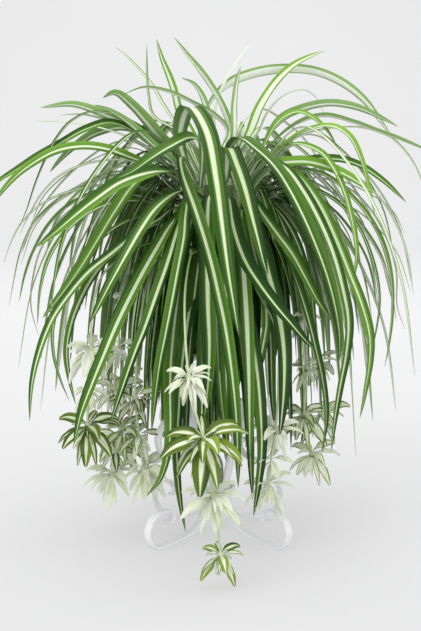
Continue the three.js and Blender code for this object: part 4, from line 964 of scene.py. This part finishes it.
# The collar's inner and outer radius and the heights of its lower and upper edge
COLLAR = (21.6, 25, 54.5, 65.5)
TRAY_RADIUS = 61
TRAY_BOTTOM = 260.1
TRAY_THICKNESS = 3
ROUND_SIDES = 128
# A turned piece that reaches the axis ends there in a flat of this radius
MIDDLE = 0.3

# The strips' lines, as (radius, height) points
LEG_CURL = [[100, 35.5], [94.5, 33.5], [89.5, 39], [92, 47], [101, 51], [115, 50], [128, 42],
  [135, 27], [131, 11], [122.5, 3.6]]
LEG_SPOT = [[116, 1.8], [104, 1.8]]
LEG_RISE = [[90, 2.7], [72, 5.4], [53, 10.5], [36, 21], [24.5, 36], [18.2, 54], [18.4, 76],
  [26.5, 106], [39, 138], [52, 170], [61, 204], [63.5, 232], [58, 250], [47, 257], [34, 258]]
LEG_LINE = LEG_CURL + LEG_SPOT + LEG_RISE
SCROLL_ROUTE = [[74.7, 173.5], [78.7, 167.6], [72.7, 162.2], [64.2, 164.7], [62.3, 173.5],
  [68.7, 180.2], [80.7, 182.3], [97.7, 176.9], [110.7, 165.1], [115.2, 150], [109.7, 134.9],
  [94.7, 124], [74.7, 118.1], [55.7, 119.3], [43.7, 128.2], [43.7, 139.1], [52.7, 144.5],
  [60.7, 140.3], [58.2, 134]]


def rounded_rectangle(width, height, corner, steps=4):
    """Points round a rectangle with round corners, as (across, up)."""
    turn = np.concatenate([np.linspace(a, a + pi / 2, steps) for a in np.arange(4) * pi / 2])
    middle = np.array([width / 2 - corner, height / 2 - corner])
    signs = np.repeat([[1, 1], [-1, 1], [-1, -1], [1, -1]], steps, axis=0)
    return signs * middle + corner * together(np.cos(turn), np.sin(turn))


def strip_piece(name, node, line, angle):
    """A strip with eased ends, bent along (radius, height) points in the upright plane at an angle."""
    line = np.insert(np.array(line, float), 1, 0, axis=1)
    way = curve_points(line, np.linspace(0, 1, 260))
    way[:, 2] = np.maximum(way[:, 2], STRIP_THICKNESS / 2)
    along = unit(np.gradient(way, axis=0))
    up = np.cross([0, 1, 0], along)
    section = rounded_rectangle(STRIP_WIDTH, STRIP_THICKNESS, STRIP_CORNER)
    ends = np.ones(len(way))
    ends[[0, -1]], ends[[1, -2]] = 0.55, 0.85
    rings = way[:, None] + np.array([0, 1, 0]) * section[:, :1]
    rings = rings + up[:, None] * section[:, 1:] * ends[:, None, None]
    turn = np.array([[cos(angle), sin(angle), 0], [-sin(angle), cos(angle), 0], [0, 0, 1]])
    skin = Skin()
    skin.add((rings @ turn)[:, ::-1])
    skin.piece(name, PAINT, "white_paint", node, crease=40)


def turned_piece(name, node, profile, material, slot, closed=False, crease=40):
    """A piece turned about the stand's axis from (radius, height) points that go down its outside."""
    profile = np.array(profile, float)
    turn = np.arange(ROUND_SIDES) / ROUND_SIDES * 2 * pi
    rings = together(profile[:, :1] * np.cos(turn), profile[:, :1] * np.sin(turn), profile[:, 1:])
    skin = Skin()
    skin.add(rings[:, ::-1], closed=closed)
    skin.piece(name, material, slot, node, crease=crease)


def paint_material():
    n = Nodes("white paint", 0.34)
    where = n.coordinates()
    flow = n.noise(where, (90.0, 90.0, 90.0), 2.0)
    speck = n.noise(where, (900.0, 900.0, 900.0), 1.0)
    colour = n.mix(flow, (0.80, 0.80, 0.83), (0.88, 0.88, 0.90))
    height = n.line(flow, 1.0, n.times(speck, 0.12))
    return n.finish(colour, height, 0.0004, n.line(flow, 0.2, 0.25))


PAINT = paint_material()
for number in range(4):
    angle = pi / 4 + number * pi / 2
    strip_piece(f"painted_leg_{number + 1}", f"leg_{number + 1}", LEG_LINE, angle)
    strip_piece(f"painted_scroll_{number + 1}", f"side_scroll_{number + 1}", SCROLL_ROUTE, angle)
inner, outer, low, high = COLLAR
turned_piece("painted_collar", "stand_collar", [
    (outer, high - 0.8), (outer, low + 0.8), (outer - 0.8, low), (inner + 0.6, low), (inner, low + 0.6),
    (inner, high - 0.6), (inner + 0.6, high), (outer - 0.8, high)], PAINT, "white_paint", closed=True)
top = TRAY_BOTTOM + TRAY_THICKNESS
turned_piece("painted_tray", "stand_tray", [
    (MIDDLE, top), (TRAY_RADIUS - 2, top), (TRAY_RADIUS - 0.2, top + 0.6), (TRAY_RADIUS + 0.8, top + 2),
    (TRAY_RADIUS + 1.5, top + 1.9), (TRAY_RADIUS + 2, TRAY_BOTTOM + 2),
    (TRAY_RADIUS + 1.4, TRAY_BOTTOM + 0.7), (TRAY_RADIUS, TRAY_BOTTOM), (MIDDLE, TRAY_BOTTOM)],
    PAINT, "white_paint")


# Pot and soil
# The pot is a plain beige plastic one with a rolled rim, nearly hidden by the leaves. It stands on the
# stand's tray and is filled with dark crumbly soil that the stems stand in.

POT_BASE_RADIUS = 45
POT_RIM_RADIUS = 62
POT_HEIGHT = 120
POT_WALL = 3.2
POT_FLOOR = 4
# The rim's rolled edge from inside to outside, as (out, up) from the rim's radius and the pot's top
RIM_ROLL = [(-5.6, -9), (-4.2, -1.2), (-3.4, -0.2), (-2, 0), (-0.7, -0.4), (0, -1.6), (-0.1, -7.2),
            (-0.9, -8.6), (-2.4, -9.2)]
SOIL_REACH = POT_RIM_RADIUS - 6.4
SOIL_RINGS = 70
SOIL_SIDES = 192
HEAP_TOP = SOIL_TOP - 0.6
HIGHEST_LUMP = 1.2
# The waves that the lumps of soil add up from, as how close they are and which way they run
LUMP_WAVES = [(0.35, 0.4), (0.6, 2.1), (1.1, 1.2), (1.7, 2.8), (2.6, 0.1), (3.4, 1.9)]


def pot_material():
    n = Nodes("beige plastic", 0.62)
    where = n.coordinates()
    cloud = n.noise(where, (28.0, 28.0, 14.0), 3.0)
    grain = n.noise(where, (1400.0, 1400.0, 1400.0), 2.0)
    colour = n.mix(cloud, (0.33, 0.29, 0.20), (0.42, 0.38, 0.28))
    height = n.line(grain, 0.5, n.times(cloud, 0.5))
    return n.finish(colour, height, 0.0002, n.line(cloud, 0.2, 0.5))


def soil_material():
    n = Nodes("soil", 0.95)
    where = n.coordinates()
    lump = n.noise(where, (240.0, 240.0, 240.0), 4.0)
    crumb = n.noise(where, (900.0, 900.0, 900.0), 3.0)
    colour = n.mix(lump, (0.012, 0.008, 0.005), (0.075, 0.050, 0.030))
    colour = n.mix(n.step(0.62, 0.72, crumb), colour, (0.16, 0.12, 0.08))
    return n.finish(colour, n.plus(lump, crumb), 0.0015)


rim = POT_BOTTOM + POT_HEIGHT
inside = POT_BASE_RADIUS - POT_WALL
turned_piece("beige_pot", "pot", [
    (MIDDLE, POT_BOTTOM + POT_FLOOR), (inside, POT_BOTTOM + POT_FLOOR),
    *((POT_RIM_RADIUS + out, rim + up) for out, up in RIM_ROLL),
    (POT_BASE_RADIUS + 0.2, POT_BOTTOM + 2.4), (POT_BASE_RADIUS - 0.4, POT_BOTTOM + 0.8),
    (POT_BASE_RADIUS - 2, POT_BOTTOM), (MIDDLE, POT_BOTTOM)], pot_material(), "pot", crease=35)

# The soil's top is a disc that is raised by a sum of waves sin(f * way + 9 a) * 0.9 / (1 + f), each with
# its own f and running at its own angle a, and that is level near the pot's wall
spread = np.linspace(0.01, 1, SOIL_RINGS)[:, None] * SOIL_REACH
turn = np.arange(SOIL_SIDES) / SOIL_SIDES * 2 * pi
across_soil, along_soil = spread * np.cos(turn), spread * np.sin(turn)
lumps = sum(
    np.sin(across_soil * f * cos(a) + along_soil * f * sin(a) + a * 9) * 0.9 / (1 + f)
    for f, a in LUMP_WAVES)
heap = HEAP_TOP + np.minimum(lumps, HIGHEST_LUMP) * smooth(1, 0.9, spread / SOIL_REACH)
wall = [together(r * np.cos(turn), r * np.sin(turn), POT_BOTTOM + POT_FLOOR + 0.6)
        for r in (inside - 0.8, MIDDLE)]
filling = Skin()
filling.add(np.concatenate([together(across_soil, along_soil, heap), wall])[:, ::-1])
filling.piece("filling", soil_material(), "soil", "soil", crease=80)


# Room
# A pale sweep of paper runs under the stand and up well behind it, in soft light, most of it from above
# and the left. The paper glows a little by itself, painted light that keeps shadows on it faint, and a lamp
# lights its far part.

SWEEP_WIDTH = 12.0
SWEEP_FRONT = -4.5
SWEEP_BACK = 4.4
SWEEP_BEND = 1.4
SWEEP_HEIGHT = 5.5
PAPER_GLOW = 0.41
ROOM_LIGHT = 0.76


def paper_material():
    n = Nodes("paper", 0.9)
    # Painted light: the paper glows by itself, so that shadows on it stay faint
    n.shader.inputs["Emission Color"].default_value = (1.0, 1.0, 1.0, 1)
    n.shader.inputs["Emission Strength"].default_value = PAPER_GLOW
    grain = n.noise(n.coordinates(), (3.0, 3.0, 3.0), 2.0)
    return n.finish(n.mix(grain, (0.305, 0.305, 0.31), (0.32, 0.32, 0.325)))


bend = np.linspace(0, pi / 2, 24)
sweep_line = np.vstack([
    [[SWEEP_FRONT, 0]],
    together(SWEEP_BACK + SWEEP_BEND * np.sin(bend), SWEEP_BEND * (1 - np.cos(bend))),
    [[SWEEP_BACK + SWEEP_BEND, SWEEP_HEIGHT]]])
sweep_points = [(x, y, z) for x in (-SWEEP_WIDTH / 2, SWEEP_WIDTH / 2) for y, z in sweep_line]
count = len(sweep_line)
sweep_faces = [(k, k + count, k + count + 1, k + 1) for k in range(count - 1)]
sweep_mesh = bpy.data.meshes.new("sweep")
sweep_mesh.from_pydata(sweep_points, [], sweep_faces)
sweep_mesh.polygons.foreach_set("use_smooth", np.ones(len(sweep_faces), bool))
sweep_mesh.materials.append(paper_material())
put_in_room("sweep", sweep_mesh)


def soft_light(name, place, aim, size, power):
    light = bpy.data.lights.new(name, "AREA")
    light.shape = "SQUARE"
    light.size = size
    light.energy = power
    lamp = put_in_room(name, light)
    lamp.location = place
    lamp.rotation_euler = (Vector(aim) - Vector(place)).to_track_quat("-Z", "Y").to_euler()


soft_light("key", (-1.7, -2.2, 2.7), (0, 0, 0.4), 2.4, 50)
soft_light("fill", (1.6, -2.7, 0.7), (0, 0, 0.45), 2.4, 26)
soft_light("top", (0.2, 0.2, 2.6), (0, 0, 0.5), 2.6, 28)
soft_light("back", (0, 2.6, 3.6), (0, 5.6, 1.0), 4.0, 110)

world = bpy.data.worlds.new("room")
world.use_nodes = True
background = world.node_tree.nodes["Background"]
background.inputs["Color"].default_value = (1.0, 1.0, 1.0, 1)
background.inputs["Strength"].default_value = ROOM_LIGHT
bpy.context.scene.world = world
